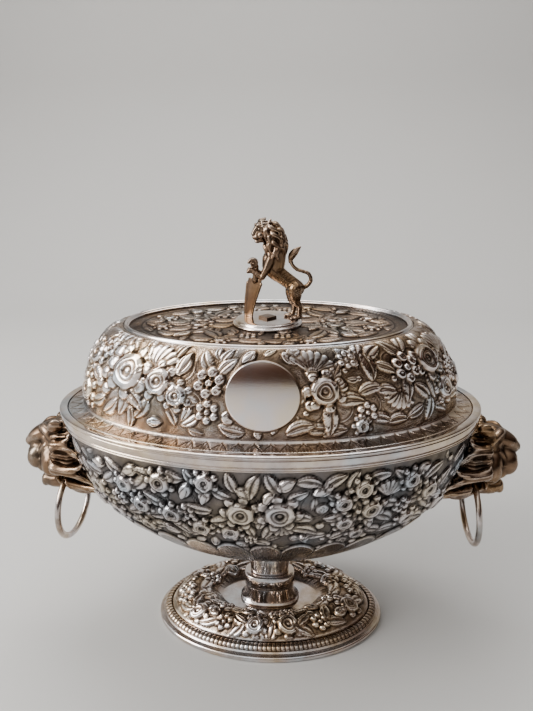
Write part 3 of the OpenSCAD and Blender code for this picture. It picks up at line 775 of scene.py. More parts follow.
def limb(points, count=24, sides=14, flat=1.0, across=(0.0, 1.0, 0.0)):
    """Closed round-ended tube through (x, y, z, radius) rows; flat widens it along across."""
    path = curve_of(points, count)
    centre, radius = path[:, :3], np.clip(path[:, 3], 0.15, None)
    along = np.gradient(centre, axis=0)
    along /= np.linalg.norm(along, axis=1, keepdims=True)
    side = np.asarray(across) - along * (along @ np.asarray(across))[:, None]
    side /= np.maximum(np.linalg.norm(side, axis=1, keepdims=True), 1e-6)
    other = np.cross(along, side)
    cap = np.linspace(np.pi / 2, 0, 5)[:-1]
    grow = np.concatenate([np.cos(cap), np.ones(count), np.cos(cap)[::-1]])
    slide = np.concatenate([-np.sin(cap) * radius[0], np.zeros(count), np.sin(cap)[::-1] * radius[-1]])
    pick = np.concatenate([np.zeros(4, int), np.arange(count), np.full(4, count - 1)])
    turn = np.linspace(0, 2 * np.pi, sides, endpoint=False)
    ring = (np.cos(turn)[None, :, None] * side[pick][:, None] * flat + np.sin(turn)[None, :,
            None] * other[pick][:, None])
    mesh = centre[pick][:, None] + (along[pick] * slide[:, None])[:, None] + ring * (radius[pick] * grow)[:,
            None, None]
    return mesh, grid_faces(len(pick), sides)[:, ::-1]


def lump(centre, radii, turn=0.0, sides=20):
    """Ellipsoid, turned about the vertical by turn degrees."""
    lift = np.linspace(-np.pi / 2, np.pi / 2, 15)[:, None]
    spin = np.linspace(0, 2 * np.pi, sides, endpoint=False)[None]
    ball = np.stack([np.cos(lift) * np.cos(spin) * radii[0], np.cos(lift) * np.sin(spin) * radii[1],
                     np.sin(lift) * radii[2] + 0 * spin], axis=-1)
    c, s = np.cos(np.radians(turn)), np.sin(np.radians(turn))
    ball = np.stack([ball[..., 0] * c - ball[..., 1] * s, ball[..., 0] * s + ball[..., 1] * c, ball[..., 2]],
                    axis=-1)
    return ball + np.asarray(centre), grid_faces(15, sides)


def lathe_y(centre, across, reach, columns=72):
    """Closed solid about the Y axis through a centre; reach(across, turn) is its radius."""
    turn = (np.arange(columns) / columns * 2 - 0.5) * np.pi
    radius = reach(across[:, None], turn[None])
    radius[[0, -1]] = 0.0
    mesh = np.stack([centre[0] + radius * np.cos(turn), np.repeat(across[:, None], columns, 1),
                     centre[2] - radius * np.sin(turn)], axis=-1)
    return mesh, grid_faces(len(across), columns)


def plain_mesh(parts, weld=False):
    """One Blender mesh of several (points, faces) parts; welding closes it at its poles."""
    points, faces, count = [], [], 0
    for mesh, quads in parts:
        points.append(np.asarray(mesh).reshape(-1, 3))
        faces.append(np.asarray(quads) + count)
        count += len(points[-1])
    made = bpy.data.meshes.new("clay")
    made.from_pydata((np.vstack(points) * MM).tolist(), [], np.vstack(faces).tolist())
    if weld:
        work = bmesh.new()
        work.from_mesh(made)
        bmesh.ops.remove_doubles(work, verts=work.verts, dist=1e-7)
        work.to_mesh(made)
        work.free()
    made.update()
    return made


def skin_of(parts, voxel, hole=None, rounds=3):
    """Skin of joined lumps: voxel remesh, an optional cut, a second remesh, smoothing.

    Gives its points in millimetres, its four-sided faces and their edges.
    """
    clay = bpy.data.objects.new("clay", plain_mesh(parts))
    bpy.context.scene.collection.objects.link(clay)
    made = clay.modifiers.new("skin", "REMESH")
    made.voxel_size = voxel * MM
    cutter = None
    if hole is not None:
        cutter = bpy.data.objects.new("cutter", plain_mesh([hole], weld=True))
        bpy.context.scene.collection.objects.link(cutter)
        cut = clay.modifiers.new("cut", "BOOLEAN")
        cut.object, cut.operation, cut.solver = cutter, "DIFFERENCE", "EXACT"
        again = clay.modifiers.new("skin_again", "REMESH")
        again.voxel_size = voxel * MM
    mesh = bpy.data.meshes.new_from_object(clay.evaluated_get(bpy.context.evaluated_depsgraph_get()))
    points = np.empty(len(mesh.vertices) * 3)
    mesh.vertices.foreach_get("co", points)
    points = points.reshape(-1, 3) / MM
    faces = np.empty(len(mesh.loops), np.int32)
    mesh.loops.foreach_get("vertex_index", faces)
    faces = faces.reshape(-1, 4)
    for used in (clay, cutter):
        if used:
            bpy.data.objects.remove(used)
    edges = np.concatenate([faces[:, [0, 1]], faces[:, [1, 2]], faces[:, [2, 3]], faces[:, [3, 0]]])
    for _ in range(rounds):
        points = points + 0.6 * (average(points, edges) - points)
    return points, faces, edges


def average(values, edges):
    """Mean of each point's neighbours along the edges."""
    total = np.zeros_like(values)
    np.add.at(total, edges[:, 0], values[edges[:, 1]])
    count = np.bincount(edges[:, 0], minlength=len(values)).astype(float)
    return total / count.reshape(-1, *[1] * (values.ndim - 1))


def skin_normals(points, faces):
    """Unit normals of a quad skin."""
    face = np.cross(points[faces[:, 2]] - points[faces[:, 0]], points[faces[:, 3]] - points[faces[:, 1]])
    normal = np.zeros_like(points)
    for corner in range(4):
        np.add.at(normal, faces[:, corner], face)
    return normal / np.maximum(np.linalg.norm(normal, axis=1, keepdims=True), 1e-9)


def hollows(points, faces, edges, gain):
    """Fields of a cast skin: cut is high where it curves inwards, polish where it stands out."""
    bend = np.einsum("ij,ij->i", average(points, edges) - points, skin_normals(points, faces)) * gain
    for _ in range(3):
        bend = 0.5 * bend + 0.5 * average(bend, edges)
    return {"cut": np.clip(bend, 0, 1), "polish": np.clip(-bend, 0, 1)}


def wall_at(y, z):
    """Distance of the bowl and rim's outside from the middle, at a place across and a level."""
    w = np.clip((z - bowl_seat) / (bowl_shoulder - bowl_seat), 0, 1)
    u = (1 - (1 - w) ** 1.775) ** (1 / 1.957)
    a = np.where(z > rim_low - 0.5, rim_a - 1.0, blend_of(seat_a, bowl_a, u))
    b = np.where(z > rim_low - 0.5, rim_b - 1.0, blend_of(seat_b, bowl_b, u))
    return a * np.sqrt(np.clip(1 - (y / b) ** 2, 0, 1))


face_level, mask_voxel, snout_draw = 128.0, 0.62, 3.1


def mane_lock(angle, start, end, thick, sway, lift):
    """One lock of the mane: starts beside the face and runs out over the wall, tapering.

    angle is round the face, 0 up and 180 down; start and end are distances from its middle.
    """
    t = np.linspace(0, 1, 7)
    a = np.radians(angle + sway * np.sin(t * 5.0))
    reach = blend_of(start, end, t)
    y, z = reach * np.sin(a), face_level + reach * np.cos(a) * np.where(np.cos(a) > 0, 0.92, 1.0)
    hug = wall_at(y, z)
    x = blend_of(157.0, 0.0, smooth(t * 1.3)) + hug * smooth(t * 1.3) + lift * np.sin(np.pi * t) + 0.6
    return limb(np.column_stack([x, y, z, thick * (0.35 + 1.1 * np.sin(np.pi * t ** 0.7) ** 0.8)
                                 * (1.08 - t)]), 18, 10)


def swing_of(name):
    """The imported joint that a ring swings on."""
    joints = frame["record"]["behaviour"]["joints"]
    return next(joint for joint in joints if joint["name"] == f"ring_{name}_swing")


swing = swing_of("right")
pivot = np.array(swing["pos_m"]) / MM
ring_from, ring_to = (np.array(corner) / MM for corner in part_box("ring_right"))
wire, ring_out, ring_mid = (ring_to[0] - ring_from[0]) / 2, ring_to[1], (ring_from[2] + ring_to[2]) / 2


def swept(across, turn, gap=0.6):
    """Reach of the swinging ring from its hinge, a distance across and in a direction turn.

    Within its swing the ring reaches down to its inner edge, pivot height - centre height -
    sqrt(inner radius^2 - across^2), plus a gap. Beyond either stop it reaches its half thickness
    over the sine of the angle past the stop.
    """
    inner = ring_out - 2 * wire
    deep = pivot[2] - ring_mid - np.sqrt(np.clip(inner ** 2 - across ** 2, 0, None)) + gap
    deep = np.where(np.abs(across) > inner - 0.6, 2 * ring_out, deep)
    least = wire + gap + 0.65
    inward, outward = (np.radians(90 - stop) for stop in swing["range_deg"])
    past = np.maximum(np.maximum(turn - inward, outward - turn), 0)
    side_on = (wire + gap) / np.maximum(np.sin(np.minimum(past, np.pi / 2)), 1e-3)
    return np.minimum(np.maximum(deep, least), np.maximum(side_on, least))


face = [lump((156.5, 0, 131.0), (13.5, 14.5, 15.0)), lump((146.0, 0, 128.0), (14.5, 24, 23)),
        lump((170.0, 0, 125.0), (9.0, 8.8, 9.5)),
        limb([(162, 0, 138.6, 8.0), (169, 0, 137.0, 6.8), (175, 0, 134.2, 5.6), (179.2, 0, 131.0, 3.8)],
             flat=1.25),
        lump((171.0, 0, 128.5), (8.4, 7.4, 7.6)),
        lump((179.8, 0, 131.0), (2.2, 4.4, 2.4)), lump((179.0, 0, 128.4), (2.4, 2.0, 3.0)),
        lump((168.5, 0, 124.5), (9.0, 7.5, 9.0)), lump((174.0, 0, 119.0), (4.4, 3.4, 7.0)),
        limb([(152, 0, 102.0, 7.0), (160, 0, 100.6, 6.2), (166.2, 0, 101.2, 5.0)], flat=1.15),
        lump((167.5, 0, 99.3), (3.8, 4.6, 4.4)), lump((150.0, 0, 106.0), (9.0, 10.0, 11.0)),
        limb([(149, 0, 108.0, 11.0), (138, 0, 104.0, 12.0), (126, 0, 101.5, 9.0), (117, 0, 96.0, 4.0)],
             flat=1.5)]
for side in (-1, 1):
    face += [lump((170.8, side * 5.4, 120.8), (8.6, 6.8, 9.2), side * 14),
             lump((175.3, side * 4.2, 124.2), (4.2, 4.2, 4.6)),
             lump((165.0, side * 7.5, 115.6), (6.4, 5.0, 6.0)),
             lump((158.5, side * 11.5, 122.0), (8.5, 6.6, 10.5)),
             lump((156.5, side * 12.5, 119.0), (9.5, 8.5, 11.0)),
             limb([(168.5, side * 2.6, 142.6, 2.4), (166.0, side * 7.0, 143.4, 3.1),
                   (161.0, side * 11.2, 141.0, 3.0),
                   (156.0, side * 13.6, 135.5, 2.2)]),
             lump((164.6, side * 7.6, 136.2), (2.8, 2.8, 2.3)),
             limb([(168.0, side * 4.6, 135.4, 0.9), (165.8, side * 7.6, 133.4, 1.1),
                   (162.0, side * 10.6, 134.0, 0.9)], sides=8),
             limb([(163.0, side * 11.0, 131.5, 2.4), (166.0, side * 9.6, 128.0, 2.6),
                   (169.0, side * 8.2, 124.5, 2.4)]),
             limb([(158, side * 14.6, 144.0, 2.0), (154.5, side * 18.2, 148.6, 3.0),
                   (153.0, side * 19.6, 153.0, 2.2)], flat=1.5,
                  across=(1.0, 0.0, 0.0)),
             limb([(159.5, side * 15.4, 143.0, 0.9), (157.6, side * 19.0, 148.0, 1.1),
                   (155.6, side * 20.2, 152.6, 0.8)], sides=8)]
    for low in (0.0, 2.4, 4.8):
        face.append(limb([(176.5 - low * 0.5, side * (7.6 + low * 0.22), 122.6 - low, 0.55),
                          (171.0 - low * 0.4, side * (11.2 - low * 0.1), 120.8 - low, 0.75),
                          (165.0, side * (12.4 - low * 0.2), 121.6 - low, 0.5)], sides=8))
mane = []
mane_tiers = [(14.0, 27.0, 3.9, 3.4, 13), (19.0, 32.0, 3.8, 2.2, 16), (24.0, 38.0, 3.2, 1.0, 19)]
for tier, (start, end, thick, lift, count) in enumerate(mane_tiers):
    for k in range(count):
        angle = (k + 0.5 * (tier % 2)) * 360.0 / count
        high = max(0.0, np.cos(np.radians(angle)))
        if 150 < angle < 210 and tier == 0:
            continue
        stop = end - (end - start) * 0.25 * high - 2.5 * tier * high
        mane.append(mane_lock(angle, start, stop, thick, 9.0 if (k + tier) % 2 else -9.0, lift))
for mesh, _ in face:
    mesh[..., 0] += snout_draw * smooth((mesh[..., 0] - 146.0) / 14.0)
cast = silver("cast_silver", clouds=0.40, aged=0.46, cut=0.85, polish=0.42, rough=(0.17, 0.44), grain=0.14,
              tones=((0.66, 0.60, 0.53), (0.235, 0.175, 0.125), (0.025, 0.016, 0.011)))
bore_end = ring_out + 1
cut_rows = np.concatenate([[-bore_end], np.linspace(-bore_end, bore_end, 57), [bore_end]])
for side, name in ((1, "right"), (-1, "left")):
    # The mouth of each mask is bored along its own ring's hinge, which on the left is askew.
    hinge = swing_of(name)["axis"]
    askew = np.arctan2(-side * hinge[0] * np.sign(hinge[1]), abs(hinge[1]))
    bore, bore_faces = lathe_y(pivot, cut_rows, swept)
    out, along = bore[..., 0] - pivot[0], bore[..., 1].copy()
    bore[..., 0] = pivot[0] + out * np.cos(askew) - along * np.sin(askew)
    bore[..., 1] = out * np.sin(askew) + along * np.cos(askew)
    points, faces, edges = skin_of(face + mane, mask_voxel, (bore, bore_faces))
    wall = wall_at(points[:, 1], points[:, 2]) - 0.7
    points[:, 0] = np.maximum(points[:, 0], np.where(points[:, 2] > 60, wall, points[:, 0]))
    points[:, 2] = np.minimum(points[:, 2], rim_top - 2.5)
    from_face = np.hypot(points[:, 1], points[:, 2] - face_level)
    strand = np.sin(np.arctan2(points[:, 1], points[:, 2] - face_level) * 62 + 0.35 * from_face)
    fur = smooth((from_face - 13) / 4) * smooth((161 - points[:, 0]) / 4)
    points += skin_normals(points, faces) * (0.16 * strand * fur)[:, None]
    outward = faces if side > 0 else faces[:, ::-1]
    lay_mesh(f"mask_{name}", points * [side, 1, 1], outward, cast, "base", [f"lion_mask_{name}"],
             hollows(points, faces, edges, 9.0))

# ---- Rings -----------------------------------------------------------------------------
# Plain round wire, bent to a ring and closed through the mouth hole of each mask.


def finish_nodes(material, *nodes):
    """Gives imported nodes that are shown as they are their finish."""
    for node in nodes:
        slots = frame["nodes"][node].data.materials
        slots.clear()
        slots.append(material)


finish_nodes(silver("ring_silver", clouds=0.4, aged=0.25, rough=(0.16, 0.42), grain=0.12), "ring_left",
             "ring_right")

# ---- Lid -------------------------------------------------------------------------------
# Raised from one sheet: a flat flange with an engraved border, nearly plumb embossed sides
# with a plain oval reserve at the front, and a turned-over shoulder.

flange_a, flange_b, flange_low, _ = size_of("lid_dome")
_, _, _, lid_top = size_of("lid_panel")
dome_a, dome_b, dome_top_a, dome_top_b = 137.4, 77.2, 107.0, 67.8
dome_top = lid_top + 1.3
dome_foot = flange_low + 4.4
lid_columns = 1100


def dome_profile(v):
    """Side of the lid for v from 0 at the flange to 1 at the top: a quarter oval."""
    u = np.sin(np.pi / 2 * v)
    k = (1 - u * u).clip(0) ** 0.53
    return np.column_stack([blend_of(dome_top_a, dome_a, k), blend_of(dome_top_b, dome_b, k),
                            blend_of(dome_foot, dome_top, u)])


flange_line = [(flange_a, flange_b, flange_low), (flange_a, flange_b, flange_low + 1.3),
               (flange_a - 0.6, flange_b - 0.6, flange_low + 1.8),
               (dome_a + 3.4, dome_b + 3.4, dome_foot - 2.1), (dome_a + 1.7, dome_b + 1.7, dome_foot - 1.6),
               (dome_a + 0.5, dome_b + 0.5, dome_foot - 0.8)]
lid_profile = np.vstack([flange_line, dome_profile(np.linspace(0, 1, 2000))])
lid_rows, lid_along = even_rows(lid_profile, 0.66)
dome_start = lid_along[np.argmin(np.abs(lid_rows[:, 2] - dome_foot))]
lid_turn, lid_whole = oval_turn(dome_a, dome_b, lid_columns)
lid_sheet = around_oval(lid_rows, lid_turn)
lid_relief = new_relief(lid_sheet, lid_along, np.arange(lid_columns) * lid_whole / lid_columns, lid_whole)

lid_flowers = [
    # about the reserve
    ("leaf", 24, 8, 10, 75), ("leaf", 36, 6, 9, 100), ("leaf", -20, 6, 9, 285), ("leaf", 46, 5, 9, 80),
    ("bud", -10, 54, 6.5, 225), ("bud", 19, 53, 6.5, 140), ("leaf", -26, 55, 7, 30), ("leaf", 6, 58, 5, 60),
    ("leaf", -40, 50, 9, 330), ("leaf", -25, 47, 8.5, 45), ("leaf", -33, 57, 6, 350),
    ("daisy", -36, 17, 8.5, 0), ("daisy", -36, 36, 11, 12), ("leaf", -47, 10, 7, 240),
    ("leaf", -50, 24, 8, 290),
    ("fan", 35, 51, 9.5, 10), ("leaf", 50, 42, 9, 30), ("leaf", 43, 12, 10.5, 182), ("leaf", 58, 24, 10, 95),
    ("boss", 34, 42, 4.6, 0), ("boss", 47, 42, 4.2, 0), ("boss", 30, 31, 4.2, 0), ("boss", 31, 22, 4, 0),
    ("boss", 53, 33, 4, 0), ("rose", 41, 31, 14.5, 0),
    # to the right
    ("bud", 61, 52, 9, 320), ("leaf", 68, 54, 7, 60), ("daisy", 60, 50, 6.5, 0), ("leaf", 73, 57, 8, 30),
    ("leaf", 83, 54, 9, 60),
    ("leaf", 75, 44, 10, 175), ("leaf", 88, 42, 8, 120), ("leaf", 72, 30, 9, 80), ("leaf", 84, 28, 8, 100),
    ("daisy", 68, 15, 7.5, 0), ("leaf", 78, 10, 8, 110), ("rose", 64, 7, 7.6, 0), ("fan", 92, 20, 7.7, 200),
    ("leaf", 90, 8, 8, 90), ("daisy", 104, 40, 11, 0), ("leaf", 99, 55, 9, 330), ("leaf", 112, 57, 8, 40),
    ("leaf", 100, 26, 9, 190), ("rose", 126, 42, 15.2, 20), ("leaf", 113, 22, 9, 140),
    ("leaf", 122, 24, 9, 170),
    ("leaf", 116, 10, 9, 200), ("leaf", 104, 10, 8, 250), ("rose", 135, 20, 12.4, 0),
    ("leaf", 128, 8, 8, 120),
    ("leaf", 138, 36, 9, 120), ("leaf", 131, 57, 8, 20), ("fan", 146, 50, 8.6, 0), ("daisy", 150, 30, 9, 0),
    ("leaf", 148, 12, 9, 100), ("leaf", 160, 44, 9, 60), ("rose", 163, 22, 13.1, 0), ("leaf", 160, 8, 8, 100),
    # to the left
    ("fan", -78, 50, 10.3, 5), ("leaf", -90, 56, 8, 330), ("leaf", -62, 57, 7, 20), ("bud", -56, 47, 9, 20),
    ("rose", -73, 34, 14.5, 40), ("rose", -58, 26, 11.7, 0), ("leaf", -66, 44, 6, 300),
    ("leaf", -60, 13, 8, 150),
    ("leaf", -50, 16, 7, 200), ("bud", -72, 7, 6, 90), ("leaf", -82, 14, 9, 215), ("leaf", -90, 20, 11, 125),
    ("leaf", -98, 16, 10, 195), ("leaf", -91, 7, 8, 180), ("leaf", -86, 40, 8, 60), ("boss", -115, 48, 5, 0),
    ("boss", -117, 40, 5, 0), ("boss", -120, 32, 4.6, 0), ("boss", -112, 30, 5, 0),
    ("boss", -124, 25, 4.2, 0),
    ("boss", -116, 22, 4.4, 0), ("rose", -99, 37, 19.3, 10), ("leaf", -108, 56, 9, 320),
    ("daisy", -128, 48, 8, 0),
    ("leaf", -110, 10, 9, 230), ("leaf", -124, 12, 9, 250), ("leaf", -132, 30, 9, 300),
    ("rose", -140, 42, 12.4, 0),
    ("leaf", -128, 58, 8, 340), ("fan", -146, 56, 7.7, 350), ("rose", -140, 16, 12.4, 0),
    ("leaf", -150, 28, 9, 260),
    ("leaf", -152, 8, 8, 250), ("daisy", -158, 38, 9, 0), ("leaf", -162, 52, 9, 320),
    ("leaf", -160, 20, 9, 240),
    ("leaf", 173, 34, 9, 0), ("leaf", 173, 12, 9, 180), ("leaf", 173, 56, 8, 0)]
dented(lid_relief)
for half in (0.0, lid_whole / 2):
    for side in (-1, 1):
        for x in np.arange(30, 172, 19.0):
            emboss(lid_relief, tendril, side * x + half, dome_start + 20, 11, 60 * side, 1.0, thick=0.08)
            emboss(lid_relief, tendril, side * (x + 8) + half, dome_start + 44, 10, -80 * side, 1.0,
                   thick=0.09)
    for kind, x, y, size, turn in sorted(lid_flowers, key=lambda f: (f[0] in ("rose", "daisy"), f[3])):
        emboss(lid_relief, FORMS[kind], x + half, dome_start + y, size, turn, 3.4 if size > 10 else 2.6)


def flange_border(relief, tips, width):
    """Engraved border of the flange: overlapping pointed scales between two plain lines."""
    x, y = relief["x"], relief["y"]
    phase = (x / relief["whole"] * tips) % 1 - 0.5
    arch = 2.4 + (width - 3.6) * (1 - np.abs(2 * phase) ** 1.6) + 0.8 * np.exp(-(phase / 0.06) ** 2)
    line = np.exp(-((y - arch) / 0.62) ** 2) + (y < arch) * np.exp(-(((phase * 5) % 1
            - 0.5) / 0.16) ** 2) * 0.55
    lines = np.clip(line, 0, 1) * (y > 2.6)
    zone = y < dome_start + 1.0
    relief["rise"] = np.where(zone, -0.34 * lines, relief["rise"])
    relief["cut"] = np.where(zone, lines * 1.1, relief["cut"])
    relief["ground"] = np.where(zone, 0.25, relief["ground"])


def reserve(relief, x, y, wide, tall):
    """Plain polished oval left blank among the flowers, edged by a raised scalloped frame."""
    whole = relief["whole"]
    dx = (relief["x"] - x + whole / 2) % whole - whole / 2
    dy = relief["y"] - y
    r = np.hypot(dx / wide, dy / tall)
    depth = (1 - r) * min(wide, tall)
    inside = smooth(depth / 0.8 + 0.5)
    relief["rise"] *= smooth(np.abs(depth) / 1.6)
    relief["rise"] = relief["rise"] * (1 - inside) + 0.9 * inside
    relief["cut"] = np.maximum(relief["cut"] * (1 - inside), np.exp(-(depth / 0.7) ** 2))
    relief["ground"] *= 1 - inside
    return inside


fill_gaps(lid_relief, dome_start + 3, dome_start + 62, 420, 7)
flange_border(lid_relief, 68, dome_start - 1.5)
reserve_up, reserve_wide, reserve_tall = 29.0, 24.5, 23.0
plain = np.maximum.reduce([reserve(lid_relief, x, dome_start + reserve_up, reserve_wide, reserve_tall)
                           for x in (0.0, lid_whole / 2)])
top_calm = np.repeat(smooth((lid_along[-1] - lid_along - 0.5) / 3.0), lid_columns)
lid_relief["rise"] *= top_calm
lid_outer = embossed_grid(lid_sheet, lid_relief)
lid_fields = relief_fields(lid_relief)
lid_fields["polish"] = np.maximum(lid_fields["polish"], plain * 1.8)
halves("lid", lid_outer, grid_normals(lid_outer), lid_fields, chased, "lid", ["lid_dome"])

# ---- Top of the lid --------------------------------------------------------------------
# A drawn oval border stands on the shoulder, and a flat chased panel is sunk inside it.

border_a, border_b, border_low, border_top = size_of("lid_moulding")
oval_moulding("lid_border", border_a, border_b,
              [(-4.4, border_low), (0.0, border_low), (0.0, border_top - 1.8), (-0.7, border_top - 1.5),
               (-0.9, border_top - 0.6),
               (-2.0, border_top), (-3.1, border_top - 0.7), (-3.4, border_top - 1.4),
               (-4.4, border_top - 1.8)],
              polished, "lid", ["lid_moulding"], round_by=0.5)

panel_a, panel_b, _, panel_top = size_of("lid_panel")
panel_columns = 560
panel_turn = np.linspace(0, 2 * np.pi, panel_columns, endpoint=False) - np.pi / 2
panel_run = np.concatenate([np.linspace(0, 0.2, 8)[:-1], np.linspace(0.2, 1.0, 120)])[::-1]
panel_rows = np.column_stack([panel_a * panel_run, panel_b * panel_run, np.full(len(panel_run), panel_top)])
panel_rows[-1, :2] = 0.05
panel_sheet = around_oval(panel_rows, panel_turn)
panel_relief = {"x": panel_sheet[..., 0].ravel(), "y": panel_sheet[..., 1].ravel(),
                "along": np.array([-99.0, 99.0]),
                "squeeze": np.array([1.0, 1.0]), "whole": 1e6, "rise": np.zeros(panel_sheet[..., 0].size),
                "rows": len(panel_run), "cut": np.zeros(panel_sheet[..., 0].size),
                "ground": np.ones(panel_sheet[..., 0].size)}
for side in (-1, 1):
    for flip in (-1, 1):
        for kind, x, y, size, turn in [
                ("leaf", 34, 8, 10, 80), ("leaf", 45, 20, 10, 40), ("leaf", 36, 30, 11, 330),
                ("rose", 50, 6, 11, 0), ("leaf", 62, 16, 10, 60),
                ("leaf", 66, 2, 10, 100), ("rose", 76, 12, 7.5, 0), ("leaf", 84, 4, 8, 120),
                ("leaf", 20, 40, 11, 300),
                ("rose", 30, 46, 7.5, 0), ("leaf", 8, 46, 10, 280), ("daisy", 12, 36, 7, 0),
                ("leaf", 44, 42, 9, 110),
                ("bud", 58, 32, 7, 60), ("leaf", 70, 28, 9, 120)]:
            emboss(panel_relief, FORMS[kind], side * x, flip * y, size, turn if side > 0 and flip > 0 else
                   (360 - turn if flip > 0 else 180 - turn * side), 2.8)
chance = np.random.default_rng(11)
for _ in range(260):
    reach, way = np.sqrt(chance.uniform(0.12, 0.78)), chance.uniform(0, 2 * np.pi)
    kind = ("leaf", "leaf", "bud", "cabbage", "boss")[chance.integers(5)]
    x, y, size = panel_a * reach * np.cos(way), panel_b * reach * np.sin(way), chance.uniform(3.4, 6.5)
    near = (np.abs(panel_relief["x"] - x) < size * 0.6) & (np.abs(panel_relief["y"] - y) < size * 0.6)
    if panel_relief["ground"][near].mean() > 0.85:
        emboss(panel_relief, FORMS[kind], x, y, size * (0.6 if kind == "boss" else 1.0),
               chance.uniform(0, 360), 2.2)
panel_edge = np.repeat(1 - panel_run, panel_columns) * 80.0
rope = np.exp(-((panel_edge - 4.5) / 1.9) ** 2)
twist = np.abs(np.sin(np.tile(panel_turn, len(panel_run)) * 70 + panel_edge * 1.1))
outer_band = panel_edge < 7.5
panel_relief["rise"] = np.where(outer_band, 0.5 * rope * twist,
                                panel_relief["rise"] * smooth((panel_edge - 7.5) / 1.5))
panel_relief["cut"] = np.where(outer_band, 0.75 * (1 - twist) ** 2 + np.exp(-((panel_edge - 7.2) / 0.5) ** 2),
                               panel_relief["cut"])
panel_relief["rise"] *= np.repeat(smooth((panel_run - 0.22) / 0.06), panel_columns)
panel_points = panel_sheet.copy()
panel_points[..., 2] += 0.8 * panel_relief["rise"].reshape(panel_points.shape[:2]) - 0.3
panel_finish = silver("panel_silver", clouds=0.4, aged=0.58, cut=0.55, ground=0.16, polish=0.30,
                      rough=(0.18, 0.46), grain=0.12)
lay_mesh("top_panel", panel_points, grid_faces(len(panel_rows), panel_columns), panel_finish, "lid",
         ["lid_panel"],
         relief_fields(panel_relief), weld=True)

# ---- Finial plate ----------------------------------------------------------------------
# A round two-step plate lies on the panel and is held by a bolt whose square head shows
# between the lion's feet and the shield; a washer and a nut hold it inside the lid.

plate_r, _, plate_low, plate_top = size_of("finial_plate")
plate_path = np.array([(0.0, plate_low), (plate_r - 0.3, plate_low), (plate_r, plate_low + 0.3),
                       (plate_r + 0.0, plate_low + 1.1),
                       (plate_r - 0.6, plate_low + 1.8), (plate_r - 1.6, plate_low + 2.0),
                       (plate_r - 2.0, plate_low + 2.3),
                       (plate_r - 2.0, plate_low + 3.0), (plate_r - 2.5, plate_top - 0.3),
                       (plate_r - 3.4, plate_top),
                       (plate_r - 8.0, plate_top), (0.0, plate_top)])
plate_turn = np.linspace(0, 2 * np.pi, 180, endpoint=False)
lay_mesh("plate", around_oval(plate_path[:, [0, 0, 1]], plate_turn), grid_faces(len(plate_path), 180),
         polished, "lid",
         ["finial_plate"], weld=True)
head_r, _, bolt_low, bolt_top = size_of("finial_bolt")
shank_r = 2.45
bolt_turn = np.linspace(0, 2 * np.pi, 32, endpoint=False)
# A square standing on its corner: radius = half diagonal / (|cos| + |sin|) of the turn.
square_r = head_r / (np.abs(np.cos(bolt_turn)) + np.abs(np.sin(bolt_turn)))
bolt_radii = [0 * square_r, 0 * square_r + shank_r, 0 * square_r + shank_r, square_r, square_r,
              0.84 * square_r, 0 * square_r]
bolt_levels = [bolt_low, bolt_low, plate_top - 0.05, plate_top - 0.05, bolt_top - 0.35, bolt_top, bolt_top]
bolt_points = np.array([np.column_stack([radius * np.cos(bolt_turn), radius * np.sin(bolt_turn),
                                         np.full(32, level)])
                        for radius, level in zip(bolt_radii, bolt_levels)])
fastener = silver("fastener_silver", clouds=0.5, aged=0.62, rough=(0.2, 0.5), grain=0.15)
bolt = lay_mesh("bolt", bolt_points, grid_faces(len(bolt_levels), 32), fastener, "lid", ["finial_bolt"],
                weld=True)
bolt.data.shade_flat()
finish_nodes(fastener, "finial_washer", "finial_nut")

# ---- Shield ----------------------------------------------------------------------------
# A cast shield leans on the plate, turned half away; its top rolls forward into a scroll.

up = np.linspace(0, 1, 30)
lean = curve_of([(-14.4, 5.0, plate_top - 0.1), (-13.4, 4.0, 235.0), (-11.0, 2.0, 246.0), (-8.8, 0.6, 255.4)],
                30)
half_wide = np.interp(up, [0, 0.12, 0.5, 0.85, 1.0], [3.0, 3.3, 5.0, 6.6, 6.4])
turned = np.radians(-35.0)
shield_parts = []
cross_at = np.linspace(0, 2 * np.pi, 24, endpoint=False)
wide = np.sign(np.cos(cross_at)) * np.abs(np.cos(cross_at)) ** 0.6
deep = np.sin(cross_at)
shield_mesh = np.stack([lean[:, :1] + np.cos(turned) * half_wide[:,
        None] * wide + np.sin(turned) * -0.95 * deep,
                        lean[:, 1:2] + np.sin(turned) * half_wide[:,
                                None] * wide + np.cos(turned) * 0.95 * deep,
                        np.repeat(lean[:, 2:3], 24, 1)], axis=-1)
caps = [shield_mesh[:1] * 0 + shield_mesh[:1].mean(1, keepdims=True), shield_mesh,
        shield_mesh[-1:] * 0 + shield_mesh[-1:].mean(1, keepdims=True)]
shield_parts.append((np.concatenate(caps), grid_faces(32, 24)))
edge_l = np.stack([shield_mesh[:, 0, 0], shield_mesh[:, 0, 1], shield_mesh[:, 0, 2], np.full(30, 0.95)],
                  axis=-1)
edge_r = np.stack([shield_mesh[:, 12, 0], shield_mesh[:, 12, 1], shield_mesh[:, 12, 2], np.full(30, 0.95)],
                  axis=-1)
shield_parts += [limb(edge_l[::5], 24, 8), limb(edge_r[::5], 24, 8)]
coil = np.linspace(-0.4, 3.4 * np.pi, 40)
coil_r = 3.5 * np.exp(-coil / 7.5)
for depth in (-1.6, 0.0, 1.6):
    shield_parts.append(limb(np.column_stack([-9.9 - coil_r * np.sin(coil + 2.2), np.full(40, -1.0 + depth),
                                              267.0 - coil_r * np.cos(coil + 2.2), 1.05 - coil * 0.03]), 60,
                             10))
shield_parts += [limb([(-8.8, 0.4, 254.6, 2.4), (-8.2, -0.2, 260.0, 2.0), (-7.4, -0.8, 264.6, 1.4)],
                      flat=1.5),
                 lump((-9.9, -1.0, 267.0), (0.9, 3.0, 0.9))]
shield_skin, shield_faces, shield_edges = skin_of(shield_parts, 0.34, rounds=2)
